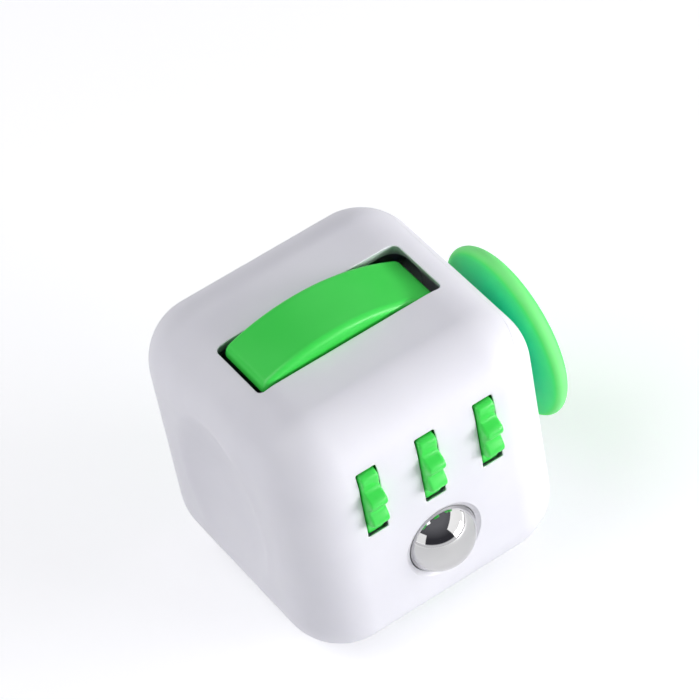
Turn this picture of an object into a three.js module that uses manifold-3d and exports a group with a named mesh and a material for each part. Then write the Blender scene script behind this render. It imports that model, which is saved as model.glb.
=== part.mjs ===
// A fidget cube: a hollow 33 mm cube with a different thing to play with on each of its six faces.
// Top: a rocker to flip. Front: three toothed wheels and a steel ball to roll. Left: a dished rest for
// the thumb. Right: a pad to glide. Back: five buttons to click. Bottom: a dial to spin.
// The casing is two corner-shaped shells of three faces each. They meet along a six-sided seam, and every
// mechanism is screwed to the inside of its own face.
// Millimetres, +Z up. The origin is the centre of the dial, which is what the cube stands on.
import * as THREE from "three";
import { RoundedBoxGeometry } from "three/addons/geometries/RoundedBoxGeometry.js";
import { mergeVertices } from "three/addons/utils/BufferGeometryUtils.js";
import Module from "manifold-3d";

const wasm = await Module();
wasm.setup();

// ---------------------------------------------------------------- sizes

const DEG = Math.PI / 180;
const THROUGH = 1; // how far a cutter runs past what it cuts
const BITE = 0.3; // how far joined shapes of one piece run into each other
const BIG_SIDES = 36; // flats on the largest round pieces
const SIDES = 24; // on ordinary ones
const SMALL_SIDES = 12; // on small ones
const SCREW_SIDES = 8;

const casing = {
  edge: 33,
  corner: 7, // outer rounding of every edge
  wall: 1.8,
  seamGap: 0.15,
  lipThickness: 0.8, // tongues of the front shell that reach behind the rear shell
  lipReach: 1.8,
  lipWidth: 8,
  lipGap: 0.15,
};

// centreOut: how far the bowl's centre stands out of the face
const dish = { length: 22.5, width: 15.4, depth: 2.2, centreOut: 4 };

const screw = { shank: 0.6, head: 1.25, headHeight: 0.95, length: 3.3, pilotGap: 0.1 };
const boss = { radius: 1.7, height: 1.8, earThickness: 1.2 };

const rocker = {
  openingLength: 23,
  openingWidth: 8.6,
  openingCorner: 0.7,
  endGap: 0.45,
  sideGap: 0.35,
  crownRadius: 25,
  crownHeight: 1.55, // of the level rocker above the face
  endRound: 1.1,
  endThickness: 2.1,
  pivotDepth: 4,
  tilt: 5, // degrees each way from level
  hubRadius: 2.3,
  stemWidth: 3.4,
  stemLength: 4.4, // from the pivot down
  pinRadius: 0.8,
  runningGap: 0.07,
  cheekGap: 0.2,
  cheekThickness: 1,
  frameLength: 8,
  frameTopGap: 0.15,
  floorThickness: 1,
  bossGap: 0.15, // the frame's cheeks to the bosses
};
const plunger = { radius: 0.85, gap: 0.12, reach: 5.2, length: 1.7, boreTop: 1.3 }; // reach: pivot to tip
const cam = { ridgeGap: 0.06, valleyDepth: 0.35, valleyAt: 0.75 };

const gear = {
  tip: 6.3,
  toothHeight: 0.85,
  teeth: 12,
  phase: 8.5, // degrees that the front tooth stands above straight out
  width: 2.3,
  proud: 1.7, // how far the teeth stand out of the face
  pitch: 7.3,
  height: 7, // axis above the face's centre
  axleRadius: 0.9,
  runningGap: 0.07,
  hubRadius: 2,
  endPlay: 0.15,
  sideGap: 0.2, // to the slot's long sides
  slotEndGap: 0.5, // to its short ends, at the face
  tipGap: 0.35,
};
const rollFrame = {
  cheek: 1.4, // between two wheels
  outerCheek: 1,
  cheekHeight: 2.2, // above and below the axle
  outerGap: 0.9, // the wall to the outer cheeks' front edge
  backGap: 1, // the teeth to the bar behind them
  backThickness: 1,
  rockerGap: 0.75, // to the rocker's frame
  floorGap: 1.3, // to the floor of the rocker's frame
  barRise: 0.2, // the bar's lower edge above the lowest tooth
  plateMargin: 1.9, // the plate past its screws, and past the ball's tube below
  screwGap: 1.15, // a boss to the ball's tube
  screwAbove: 3.05, // the upper screws above the ball
  screwBelow: 3.4,
  plateAbove: 4.85,
  plateBelow: 5.2,
  wallGap: 0.15,
};
const detent = { thickness: 0.3, width: 1.6, noseGap: 0.3, foot: 0.9, slotGap: 0.15 };

const ball = {
  radius: 4.35,
  depth: 1.65, // its centre behind the face
  height: -4.5, // its centre above the face's centre
  neckGap: 0.06,
  neckTop: 0.3, // the neck's depths behind the face
  neckEnd: 0.55,
  mouthFlare: 0.36,
  reliefGap: 0.15,
  press: 0.8,
  seatGap: 0.1,
};
// inset: how much smaller in radius than the ball. rimBack: the ball's centre to the rim.
const ballCup = { inset: 0.75, gap: 0.15, rimBack: 3.05, floor: 0.9, postRadius: 0.8 };
const ballTube = { wall: 1, springRoom: 1.7, floorThickness: 1, ballGap: 0.25 };
const ballSpring = { radius: 2.5, wire: 0.25, turns: 3, endGap: 0.1 };
const ballDome = { radius: 1.8, height: 0.6, thickness: 0.15 };

const glide = {
  capRadius: 10.4,
  underside: 3.2, // height of the cap's underside over the face
  widest: 4.1,
  top: 5.3,
  rimRound: 1.2,
  bowlRadius: 7.4,
  bowlDepth: 0.8,
  neck: 3.2,
  neckFlare: 4.6,
  travel: 1.4,
  holeGap: 0.2,
  block: 2.8, // half width of the square block under the neck
  slideGap: 0.1,
  carriageWall: 1.3,
  carriageThickness: 1,
  layerGap: 0.15,
  rail: 1.1,
  retainerOverlap: 0.3, // past the carriage
  retainerThickness: 0.85,
};
// bossGap: its rim to the bosses. clearance: its outside to the wheels' frame.
const glideFrame = {
  wall: 1,
  ringWidth: 1.9,
  ringGap: 0.1,
  floorThickness: 0.8,
  bossGap: 0.05,
  clearance: 0.15,
};

const button = {
  radius: 2.75,
  gap: 0.2,
  spacing: 6.2,
  proud: 1.6,
  edgeRound: 0.8,
  flangeLip: 0.65,
  flangeThickness: 0.85,
  flangeGap: 0.15,
  post: 1.1,
  press: 0.8,
  screwsPast: 1.2, // the screws' distance past the buttons'
};
const clickFrame = {
  underFlange: 1.6, // room below a pressed button's flange
  margin: 1.9, // the plate past its screws
  thickness: 1.3,
  seatDepth: 0.3,
  seatGap: 0.15,
  corner: 2.2,
};
const snapDome = { radius: 2.4, height: 1.1, thickness: 0.18, postGap: 0.1 };
const rubberDome = { radius: 2.3, height: 1.6, thickness: 0.4, top: 1.3, postGap: 0.1 };

const dial = {
  radius: 9.6,
  gap: 0.3,
  recess: 1.2,
  floorGap: 0.3,
  proud: 1.3,
  edgeRound: 0.6,
  dimpleAt: 5.7,
  dimpleRadius: 2.6,
  dimpleDepth: 0.9,
  hub: 2.4,
  hubGap: 0.1,
  padMargin: 0.7, // thickened floor of the casing, past the recess
  padThickness: 1.2,
  endPlay: 0.3,
  washer: 4,
  washerThickness: 0.5,
};

const half = casing.edge / 2;

// ---------------------------------------------------------------- solids

// A closed three.js geometry as a solid that can be joined and cut.
function solid(geometry) {
  const bare = geometry.clone();
  bare.deleteAttribute("normal");
  bare.deleteAttribute("uv");
  const merged = mergeVertices(bare, 1e-4);
  const vertProperties = new Float32Array(merged.attributes.position.array);
  const triVerts = new Uint32Array(merged.index.array);
  const made = new wasm.Manifold(new wasm.Mesh({ numProp: 3, vertProperties, triVerts }));
  if (made.volume() > 0) return made;
  const turned = triVerts.reverse();
  return new wasm.Manifold(new wasm.Mesh({ numProp: 3, vertProperties, triVerts: turned }));
}

function geometryOf(made) {
  const mesh = made.getMesh();
  const points = new Float32Array(mesh.numVert * 3);
  for (let i = 0; i < mesh.numVert; i++) {
    const at = i * mesh.numProp;
    points.set(mesh.vertProperties.subarray(at, at + 3), i * 3);
  }
  const geometry = new THREE.BufferGeometry();
  geometry.setAttribute("position", new THREE.BufferAttribute(points, 3));
  geometry.setIndex(new THREE.BufferAttribute(new Uint32Array(mesh.triVerts), 1));
  geometry.computeVertexNormals();
  return geometry;
}

const join = (first, ...others) => others.reduce((made, other) => made.add(other), first);
const cut = (first, ...others) => others.reduce((made, other) => made.subtract(other), first);

// Every mechanism is drawn in the frame of its own face: u to the right, v up and w straight out of the
// face, with w = 0 on the outside of the casing and negative w inside it.

function slab(u0, u1, v0, v1, w0, w1) {
  const box = new THREE.BoxGeometry(u1 - u0, v1 - v0, w1 - w0);
  return solid(box.translate((u0 + u1) / 2, (v0 + v1) / 2, (w0 + w1) / 2));
}

// A rod from w0 to w1 at (u, v).
function rod(radius, w0, w1, u = 0, v = 0, sides = SIDES) {
  const cylinder = new THREE.CylinderGeometry(radius, radius, w1 - w0, sides);
  return solid(cylinder.rotateX(90 * DEG).translate(u, v, (w0 + w1) / 2));
}

// A rod that lies along u, at (v, w).
function rodAlongU(radius, u0, u1, v, w, sides = SIDES) {
  const cylinder = new THREE.CylinderGeometry(radius, radius, u1 - u0, sides);
  return solid(cylinder.rotateZ(-90 * DEG).translate((u0 + u1) / 2, v, w));
}

// A rod that lies along v, at (u, w).
function rodAlongV(radius, v0, v1, u, w, sides = SIDES) {
  const cylinder = new THREE.CylinderGeometry(radius, radius, v1 - v0, sides);
  return solid(cylinder.translate(u, (v0 + v1) / 2, w));
}

// A turned shape about w at (u, v), from a list of [radius, w] that starts and ends on the axis.
function turned(profile, u = 0, v = 0, sides = SIDES) {
  const points = profile.map(([radius, w]) => new THREE.Vector2(radius, w));
  return solid(new THREE.LatheGeometry(points, sides).rotateX(90 * DEG).translate(u, v, 0));
}

// A shape drawn in (u, v) and stretched from w0 to w1.
function plate(shape, w0, w1, curveSegments = 4) {
  const options = { depth: w1 - w0, bevelEnabled: false, curveSegments };
  return solid(new THREE.ExtrudeGeometry(shape, options).translate(0, 0, w0));
}

// A shape drawn in (u, w) and stretched along v, the same each side of v = 0.
function barAcross(shape, width, curveSegments = 8) {
  const options = { depth: width, bevelEnabled: false, curveSegments };
  const bar = new THREE.ExtrudeGeometry(shape, options).translate(0, 0, -width / 2);
  return solid(bar.rotateX(90 * DEG));
}

// A shape drawn in (w, v) and stretched along u, the same each side of u.
function wheelAt(shape, width, u) {
  const options = { depth: width, bevelEnabled: false };
  const wheel = new THREE.ExtrudeGeometry(shape, options).translate(0, 0, -width / 2);
  return solid(wheel.rotateY(-90 * DEG).translate(u, 0, 0));
}

function roundedRectangle(width, height, corner) {
  const [x, y] = [width / 2, height / 2];
  const shape = new THREE.Shape();
  shape.moveTo(-x + corner, -y);
  shape.lineTo(x - corner, -y);
  shape.absarc(x - corner, -y + corner, corner, -90 * DEG, 0);
  shape.lineTo(x, y - corner);
  shape.absarc(x - corner, y - corner, corner, 0, 90 * DEG);
  shape.lineTo(-x + corner, y);
  shape.absarc(-x + corner, y - corner, corner, 90 * DEG, 180 * DEG);
  shape.lineTo(-x, -y + corner);
  shape.absarc(-x + corner, -y + corner, corner, 180 * DEG, 270 * DEG);
  return shape;
}

// The outer box of the casing taken in by inset on every side.
function roundedCube(inset) {
  const edge = casing.edge - 2 * inset;
  return solid(new RoundedBoxGeometry(edge, edge, edge, 3, casing.corner - inset));
}

class Helix extends THREE.Curve {
  constructor(radius, height, turns) {
    super();
    Object.assign(this, { radius, height, turns });
  }
  getPoint(t, point = new THREE.Vector3()) {
    const angle = t * this.turns * 2 * Math.PI;
    return point.set(this.radius * Math.cos(angle), this.radius * Math.sin(angle), t * this.height);
  }
}

// A coil spring that fills the space from w0 to w1, with radius its outside.
function coil(radius, wire, w0, w1, turns, u = 0, v = 0) {
  const path = new Helix(radius - wire, w1 - w0 - 2 * wire, turns);
  const section = new THREE.Shape().absarc(0, 0, wire, 0, 360 * DEG);
  const options = { steps: turns * 8, extrudePath: path, curveSegments: 3 };
  return solid(new THREE.ExtrudeGeometry(section, options).translate(u, v, w0 + wire));
}

// A thin pressed cap, open towards -w, standing on w.
function dome(size, w, u, v, top = 0) {
  const outer = [];
  const inner = [];
  const steps = 3;
  for (let i = 0; i <= steps; i++) {
    const angle = (i / steps) * 90 * DEG;
    const across = Math.sin(angle);
    const up = Math.cos(angle);
    outer.push([top + (size.radius - top) * across, w + size.height * up]);
    inner.push([
      top + (size.radius - size.thickness - top) * across,
      w + (size.height - size.thickness) * up,
    ]);
  }
  const onAxis = (points) => (top > 0 ? [[0, points[0][1]], ...points] : points);
  return turned([...onAxis(inner), ...onAxis(outer).reverse()], u, v, SMALL_SIDES);
}

// ---------------------------------------------------------------- faces

const [X, Y, Z] = [new THREE.Vector3(1, 0, 0), new THREE.Vector3(0, 1, 0), new THREE.Vector3(0, 0, 1)];
const back = (axis) => axis.clone().negate();

// Where a face's own frame stands in the cube, whose centre is the origin here.
function faceFrame(u, v, w) {
  return new THREE.Matrix4().makeBasis(u, v, w).setPosition(w.clone().multiplyScalar(half));
}

const faces = {
  top: faceFrame(X, Y, Z),
  front: faceFrame(X, Z, back(Y)),
  left: faceFrame(back(Y), Z, back(X)),
  right: faceFrame(Y, Z, X),
  behind: faceFrame(back(X), Z, Y),
  bottom: faceFrame(X, back(Y), back(Z)),
};

// A solid drawn on a face, moved into the cube's frame.
const onFace = (face, made) => made.transform(faces[face].toArray());

// ---------------------------------------------------------------- materials

const plastic = (color, roughness) => new THREE.MeshStandardMaterial({ color, roughness, metalness: 0 });
const metal = (color, roughness) => new THREE.MeshStandardMaterial({ color, roughness, metalness: 1 });
const materials = {
  shell: plastic(0xf0f0f4, 0.55),
  green: plastic(0x28c83c, 0.35),
  frame: plastic(0xd9d9dc, 0.6),
  chrome: metal(0xd8d8dc, 0.06),
  steel: metal(0x9a9ca0, 0.35),
  silicone: plastic(0xc9ccd2, 0.7),
};

function piece(name, made, material) {
  const mesh = new THREE.Mesh(geometryOf(made), materials[material]);
  mesh.name = name;
  return mesh;
}

// ---------------------------------------------------------------- fasteners

const earTop = -casing.wall - boss.height; // the face of a boss, which a frame's ear is screwed to

// A self-tapping screw whose head stands on a seat at w and whose shank points out.
function screwAt(name, u, v, seat) {
  const profile = [
    [0, seat - screw.headHeight],
    [screw.head * 0.7, seat - screw.headHeight],
    [screw.head, seat - screw.headHeight * 0.6],
    [screw.head, seat],
    [screw.shank, seat],
    [screw.shank, seat + screw.length - screw.shank],
    [0, seat + screw.length],
  ];
  return piece(name, turned(profile, u, v, SCREW_SIDES), "steel");
}

// The hole that a screw's shank cuts its thread in, from its mouth at w.
function pilot(u, v, mouth, depth) {
  return rod(screw.shank + screw.pilotGap, mouth - THROUGH, mouth + depth, u, v, SCREW_SIDES);
}

// A boss for a screw on the inside of the casing, and its pilot hole.
const bossAt = (u, v, height = boss.height) =>
  rod(boss.radius, -casing.wall - height, -casing.wall + BITE, u, v, SMALL_SIDES);
const bossPilot = (u, v, height = boss.height) =>
  pilot(u, v, -casing.wall - height, screw.length - boss.earThickness + 0.3);
const earHole = (u, v) => rod(screw.shank + screw.pilotGap, -half, 0, u, v, SCREW_SIDES);

// ---------------------------------------------------------------- top: the rocker

const rockerLength = rocker.openingLength - 2 * rocker.endGap;
const rockerWidth = rocker.openingWidth - 2 * rocker.sideGap;
const cheekInside = rockerWidth / 2 + rocker.cheekGap;
const cheekOutside = cheekInside + rocker.cheekThickness;
const rockerScrewsOut = cheekOutside + rocker.bossGap + boss.radius;
const rockerScrews = [-1, 1].flatMap((side) =>
  [-1, 1].map((end) => [(end * gear.pitch) / 2, side * rockerScrewsOut]),
);
const camTop = -rocker.pivotDepth - plunger.reach - cam.ridgeGap;
const rockerFloor = camTop - cam.valleyDepth - rocker.floorThickness;

// The rocker seen from the side, level, with its pivot at the origin: a crowned paddle with a hub below.
function rockerPaddle() {
  const end = rockerLength / 2;
  const top = rocker.pivotDepth + rocker.crownHeight;
  const centre = top - rocker.crownRadius;
  const cornerAt = end - rocker.endRound;
  const archAngle = Math.acos(cornerAt / rocker.crownRadius);
  const cornerTop = centre + rocker.crownRadius * Math.sin(archAngle);
  const under = cornerTop - rocker.endThickness;
  const shape = new THREE.Shape();
  shape.moveTo(-end, under);
  shape.lineTo(end, under);
  shape.lineTo(end, cornerTop - rocker.endRound);
  shape.absarc(cornerAt, cornerTop - rocker.endRound, rocker.endRound, 0, archAngle);
  shape.absarc(0, centre, rocker.crownRadius, archAngle, Math.PI - archAngle);
  shape.absarc(-cornerAt, cornerTop - rocker.endRound, rocker.endRound, Math.PI - archAngle, Math.PI);
  return shape;
}

// Drawn level about its pivot. The group that holds it is tilted, right end down.
function rockerSolid() {
  const stem = rocker.stemWidth / 2;
  const width = rockerWidth / 2;
  return cut(
    join(
      barAcross(rockerPaddle(), rockerWidth),
      rodAlongV(rocker.hubRadius, -width, width, 0, 0),
      slab(-stem, stem, -stem, stem, -rocker.stemLength, 0),
      slab(-rocker.hubRadius, rocker.hubRadius, -width, width, 0, rocker.hubRadius),
    ),
    rodAlongV(rocker.pinRadius + rocker.runningGap, -width - THROUGH, width + THROUGH, 0, 0, SMALL_SIDES),
    rod(plunger.radius + plunger.gap, -rocker.stemLength - THROUGH, -plunger.boreTop, 0, 0, SMALL_SIDES),
  );
}

function plungerSolid() {
  const tip = -plunger.reach;
  const profile = [[0, tip + plunger.length], [plunger.radius, tip + plunger.length]];
  const steps = 4;
  for (let i = 0; i <= steps; i++) {
    const angle = (i / steps) * 90 * DEG;
    profile.push([plunger.radius * Math.cos(angle), tip + plunger.radius * (1 - Math.sin(angle))]);
  }
  return turned(profile.reverse(), 0, 0, SMALL_SIDES);
}

// The floor of the rocker's frame, with a ridge between the two valleys that the plunger settles in.
function camFloor() {
  const end = rocker.frameLength / 2;
  const valley = camTop - cam.valleyDepth;
  const shape = new THREE.Shape();
  shape.moveTo(-end, rockerFloor);
  shape.lineTo(end, rockerFloor);
  shape.lineTo(end, camTop);
  shape.lineTo(cam.valleyAt * 2, camTop);
  shape.lineTo(cam.valleyAt, valley);
  shape.lineTo(0, camTop);
  shape.lineTo(-cam.valleyAt, valley);
  shape.lineTo(-cam.valleyAt * 2, camTop);
  shape.lineTo(-end, camTop);
  return barAcross(shape, 2 * cheekOutside);
}

// Room in the rocker's frame for the wheels that run in front of it, in the top face's frame.
function wheelRoom() {
  const width = gear.width / 2 + gear.sideGap;
  const [v, w] = [axisDepth - half, gear.height - half];
  return join(...gearPlaces.map((u) => rodAlongU(gear.tip + gear.tipGap, u - width, u + width, v, w)));
}

function rockerFrameSolid() {
  const end = rocker.frameLength / 2;
  const top = -casing.wall - rocker.frameTopGap;
  const cheeks = [-1, 1].map((side) => {
    const [near, far] = [side * cheekInside, side * cheekOutside].sort((a, b) => a - b);
    return slab(-end, end, near, far, rockerFloor, top);
  });
  const ears = rockerScrews.map(([u, v]) => {
    const [near, far] = [Math.sign(v) * (cheekOutside - BITE), v].sort((a, b) => a - b);
    const arm = slab(u - boss.radius, u + boss.radius, near, far, earTop - boss.earThickness, earTop);
    return arm.add(rod(boss.radius, earTop - boss.earThickness, earTop, u, v, SMALL_SIDES));
  });
  const pinBore = rocker.pinRadius + rocker.runningGap;
  return cut(
    join(camFloor(), ...cheeks, ...ears),
    rodAlongV(pinBore, -cheekOutside - THROUGH, cheekOutside + THROUGH, 0, -rocker.pivotDepth, SMALL_SIDES),
    ...rockerScrews.map(([u, v]) => earHole(u, v)),
    wheelRoom(),
  );
}

function flipMechanism() {
  const group = new THREE.Group();
  const moving = new THREE.Group();
  moving.position.z = -rocker.pivotDepth;
  moving.rotation.y = rocker.tilt * DEG;
  const springTop = -plunger.boreTop - 0.1;
  const springEnd = plunger.length - plunger.reach + 0.1;
  moving.add(
    piece("rocker", rockerSolid(), "green"),
    piece("rocker_plunger", plungerSolid(), "steel"),
    piece("rocker_spring", coil(plunger.radius - 0.05, 0.14, springEnd, springTop, 3), "steel"),
  );
  const pin = rodAlongV(rocker.pinRadius, -cheekOutside, cheekOutside, 0, -rocker.pivotDepth, SMALL_SIDES);
  group.add(moving, piece("rocker_pin", pin, "steel"), piece("rocker_frame", rockerFrameSolid(), "frame"));
  rockerScrews.forEach(([u, v], i) =>
    group.add(screwAt(`rocker_screw_${i + 1}`, u, v, earTop - boss.earThickness)),
  );
  return group;
}

const rockerOpening = () =>
  plate(
    roundedRectangle(rocker.openingLength, rocker.openingWidth, rocker.openingCorner),
    -casing.wall - casing.corner,
    THROUGH,
  );

// ---------------------------------------------------------------- front: the wheels and the ball

const gearPlaces = [-1, 0, 1].map((n) => n * gear.pitch);
const gearRoot = gear.tip - gear.toothHeight;
const axisDepth = gear.tip - gear.proud;
const axisW = -axisDepth;
const slotLength = 2 * (Math.sqrt(gear.tip ** 2 - axisDepth ** 2) + gear.slotEndGap);
const bayWidth = gear.pitch - rollFrame.cheek; // between two cheeks, where one wheel runs
const outerCheekAt = gear.pitch + bayWidth / 2;
const outerCheekEnd = outerCheekAt + rollFrame.outerCheek;
const backFace = -axisDepth - gear.tip - rollFrame.backGap;
const barLow = gear.height - gear.tip + rollFrame.barRise;
const barHigh = half + rockerFloor - rollFrame.floorGap;
const cupRimDepth = ball.depth + ballCup.rimBack;
const cupFloorDepth = ball.depth + ball.radius + ball.seatGap + ballCup.floor;
const cupRadius = ball.radius - ballCup.inset;
const tubeRadius = cupRadius + ballCup.gap;
const tubeFloorDepth = cupFloorDepth + ball.press + ballTube.springRoom;
const rollScrewsOut = tubeRadius + ballTube.wall + rollFrame.screwGap + boss.radius;
const rollScrews = [-1, 1].flatMap((side) => [
  [side * rollScrewsOut, ball.height + rollFrame.screwAbove],
  [side * rollScrewsOut, ball.height - rollFrame.screwBelow],
]);

// Rounded teeth: each step is [share of the tooth's pitch from its middle, share of its height].
const toothSteps = [
  [-0.34, 0],
  [-0.2, 0.7],
  [-0.08, 1],
  [0.08, 1],
  [0.2, 0.7],
  [0.34, 0],
];

// The wheel's outline about its axis, x straight out of the face and y up.
function gearOutline() {
  const points = [];
  for (let tooth = 0; tooth < gear.teeth; tooth++) {
    for (const [across, share] of toothSteps) {
      const angle = (gear.phase + ((tooth + across) * 360) / gear.teeth) * DEG;
      const radius = gearRoot + gear.toothHeight * share;
      const [out, up] = [radius * Math.cos(angle), radius * Math.sin(angle)];
      points.push(new THREE.Vector2(axisW + out, gear.height + up));
    }
  }
  return new THREE.Shape(points);
}

function gearSolid(u) {
  const hub = bayWidth / 2 - gear.endPlay;
  return cut(
    wheelAt(gearOutline(), gear.width, u).add(
      rodAlongU(gear.hubRadius, u - hub, u + hub, gear.height, axisW, SMALL_SIDES),
    ),
    rodAlongU(
      gear.axleRadius + gear.runningGap,
      u - bayWidth,
      u + bayWidth,
      gear.height,
      axisW,
      SMALL_SIDES,
    ),
  );
}

// One strip of spring steel with three fingers, each with a nose in the gap between two teeth.
const valleyAngle = (gear.phase + (6.5 * 360) / gear.teeth) * DEG;
function detentSolid() {
  const noseRadius = gearRoot + detent.noseGap;
  const nose = new THREE.Vector2(
    axisW + noseRadius * Math.cos(valleyAngle),
    gear.height + noseRadius * Math.sin(valleyAngle),
  );
  const stripFace = backFace + detent.thickness;
  const finger = new THREE.Shape([
    new THREE.Vector2(backFace, barLow),
    new THREE.Vector2(stripFace, barLow),
    new THREE.Vector2(stripFace, barLow + detent.foot),
    new THREE.Vector2(nose.x, nose.y),
    new THREE.Vector2(stripFace + 0.5, nose.y + 1.2),
    new THREE.Vector2(stripFace + 0.2, nose.y + 1.1),
    new THREE.Vector2(nose.x - 0.4, nose.y),
    new THREE.Vector2(backFace, barLow + detent.foot + 0.2),
  ]);
  const end = gear.pitch + detent.width;
  return join(
    slab(-end, end, barLow, barLow + detent.foot, backFace, stripFace),
    ...gearPlaces.map((u) => wheelAt(finger, detent.width, u)),
  );
}

// Where the strip's foot passes through the walls of the frame.
function detentSlot() {
  const end = gear.pitch + detent.width + detent.slotGap;
  const [low, high] = [barLow - detent.slotGap, barLow + detent.foot + detent.slotGap];
  return slab(-end, end, low, high, backFace, backFace + detent.thickness + detent.slotGap);
}

// A wall beside a wheel that carries the axle, from front to back as depths behind the face.
function cheekAt(u, thickness, front, back) {
  const low = gear.height - rollFrame.cheekHeight;
  const high = gear.height + rollFrame.cheekHeight;
  return slab(u - thickness / 2, u + thickness / 2, low, high, -back, -front);
}

// Room in the wheels' frame for the glide pad's frame beside it, in the front face's frame.
function glideRoom() {
  const near = half + layer.floorLow - glideFrame.clearance;
  return rodAlongU(glideFrameRadius + glideFrame.clearance, near, half, 0, -half, BIG_SIDES);
}

function rollFrameSolid() {
  const plateBack = earTop - boss.earThickness;
  const backOfPlate = plateBack - THROUGH;
  const tubeEnd = -tubeFloorDepth - ballTube.floorThickness;
  const back = backFace - rollFrame.backThickness;
  const innerFront = casing.wall + rollFrame.wallGap;
  const cheekBack = half - cheekOutside - rollFrame.rockerGap;
  const webs = [-1, 1].map((side) => {
    const u = (side * gear.pitch) / 2;
    const [near, far] = [u - rollFrame.cheek / 2, u + rollFrame.cheek / 2];
    const outer = side * (outerCheekAt + rollFrame.outerCheek / 2);
    return join(
      cheekAt(u, rollFrame.cheek, innerFront, cheekBack),
      slab(near, far, ball.height, barHigh + BITE, backFace - BITE, earTop),
      cheekAt(outer, rollFrame.outerCheek, casing.wall + rollFrame.outerGap, -back),
    );
  });
  const plateHalf = rollScrewsOut + rollFrame.plateMargin;
  const [plateLow, plateTop] = [ball.height - rollFrame.plateBelow, ball.height + rollFrame.plateAbove];
  return cut(
    join(
      slab(-plateHalf, plateHalf, plateLow, plateTop, plateBack, earTop),
      rod(tubeRadius + ballTube.wall, tubeEnd, plateBack + BITE, 0, ball.height),
      ...webs,
      slab(-outerCheekEnd, outerCheekEnd, barLow, barHigh, back, backFace),
      ...[-1, 1].map((side) => {
        const [near, far] = [side * outerCheekEnd, side * outerCheekAt].sort((a, b) => a - b);
        return slab(near, far, barLow, gear.height, back, backFace + BITE);
      }),
    ),
    rod(ball.radius + ballTube.ballGap, plateBack, 0, 0, ball.height),
    rod(tubeRadius, -tubeFloorDepth, 0, 0, ball.height),
    detentSlot(),
    rodAlongU(
      gear.axleRadius + gear.runningGap,
      -outerCheekEnd - THROUGH,
      outerCheekEnd + THROUGH,
      gear.height,
      axisW,
      SMALL_SIDES,
    ),
    ...rollScrews.map(([u, v]) => earHole(u, v).intersect(slab(-half, half, -half, half, backOfPlate, 0))),
    glideRoom(),
  );
}

function ballSolid() {
  const sphere = new THREE.SphereGeometry(ball.radius, 24, 14);
  return solid(sphere.rotateX(90 * DEG).translate(0, ball.height, -ball.depth));
}

// The cup that carries the ball, and a post that snaps the dome below it.
function ballCupSolid() {
  const seat = new THREE.SphereGeometry(ball.radius + ball.seatGap, 24, 14);
  const postEnd = -tubeFloorDepth + ballDome.height + ball.press;
  return cut(
    join(
      rod(cupRadius, -cupFloorDepth, -cupRimDepth, 0, ball.height),
      rod(ballCup.postRadius, postEnd, -cupFloorDepth + BITE, 0, ball.height, SMALL_SIDES),
    ),
    solid(seat.rotateX(90 * DEG).translate(0, ball.height, -ball.depth)),
  );
}

function rollMechanism() {
  const group = new THREE.Group();
  const axle = rodAlongU(gear.axleRadius, -outerCheekEnd, outerCheekEnd, gear.height, axisW, SMALL_SIDES);
  const springLow = -tubeFloorDepth + ballSpring.endGap;
  const springHigh = -cupFloorDepth - ballSpring.endGap;
  const spring = coil(
    ballSpring.radius,
    ballSpring.wire,
    springLow,
    springHigh,
    ballSpring.turns,
    0,
    ball.height,
  );
  ["left", "middle", "right"].forEach((side, i) =>
    group.add(piece(`gear_${side}`, gearSolid(gearPlaces[i]), "green")),
  );
  group.add(
    piece("gear_axle", axle, "steel"),
    piece("gear_detent_spring", detentSolid().translate([0, 0, 0.05]), "steel"),
    piece("roll_frame", rollFrameSolid(), "frame"),
    piece("ball", ballSolid(), "chrome"),
    piece("ball_cup", ballCupSolid(), "frame"),
    piece("ball_spring", spring, "steel"),
    piece("ball_click_dome", dome(ballDome, -tubeFloorDepth + 0.05, 0, ball.height), "steel"),
  );
  rollScrews.forEach(([u, v], i) =>
    group.add(screwAt(`roll_screw_${i + 1}`, u, v, earTop - boss.earThickness)),
  );
  return group;
}

// A wheel's slot, opened behind the face to the wheel's own circle.
function gearSlot(u) {
  const width = gear.width + 2 * gear.sideGap;
  const [low, high] = [gear.height - slotLength / 2, gear.height + slotLength / 2];
  const left = u - width / 2;
  return join(
    slab(left, left + width, low, high, -casing.wall - THROUGH, THROUGH),
    rodAlongU(gear.tip + gear.tipGap, left, left + width, gear.height, axisW, SIDES),
  );
}

// The ball's hole: a chamfered mouth, a neck that keeps the ball in, and room for the ball behind it.
function ballHole() {
  const neck = Math.sqrt(ball.radius ** 2 - (ball.depth - ball.neckEnd) ** 2) + ball.neckGap;
  const relief = ball.radius + ball.reliefGap;
  const mouth = neck + ball.mouthFlare;
  const profile = [
    [0, -casing.wall - THROUGH],
    [relief, -casing.wall - THROUGH],
    [relief, -ball.neckEnd - 0.1],
    [neck, -ball.neckEnd],
    [neck, -ball.neckTop],
    [mouth, 0],
    [mouth, THROUGH],
    [0, THROUGH],
  ];
  return turned(profile, 0, ball.height, BIG_SIDES);
}

// ---------------------------------------------------------------- right: the glide pad

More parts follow.
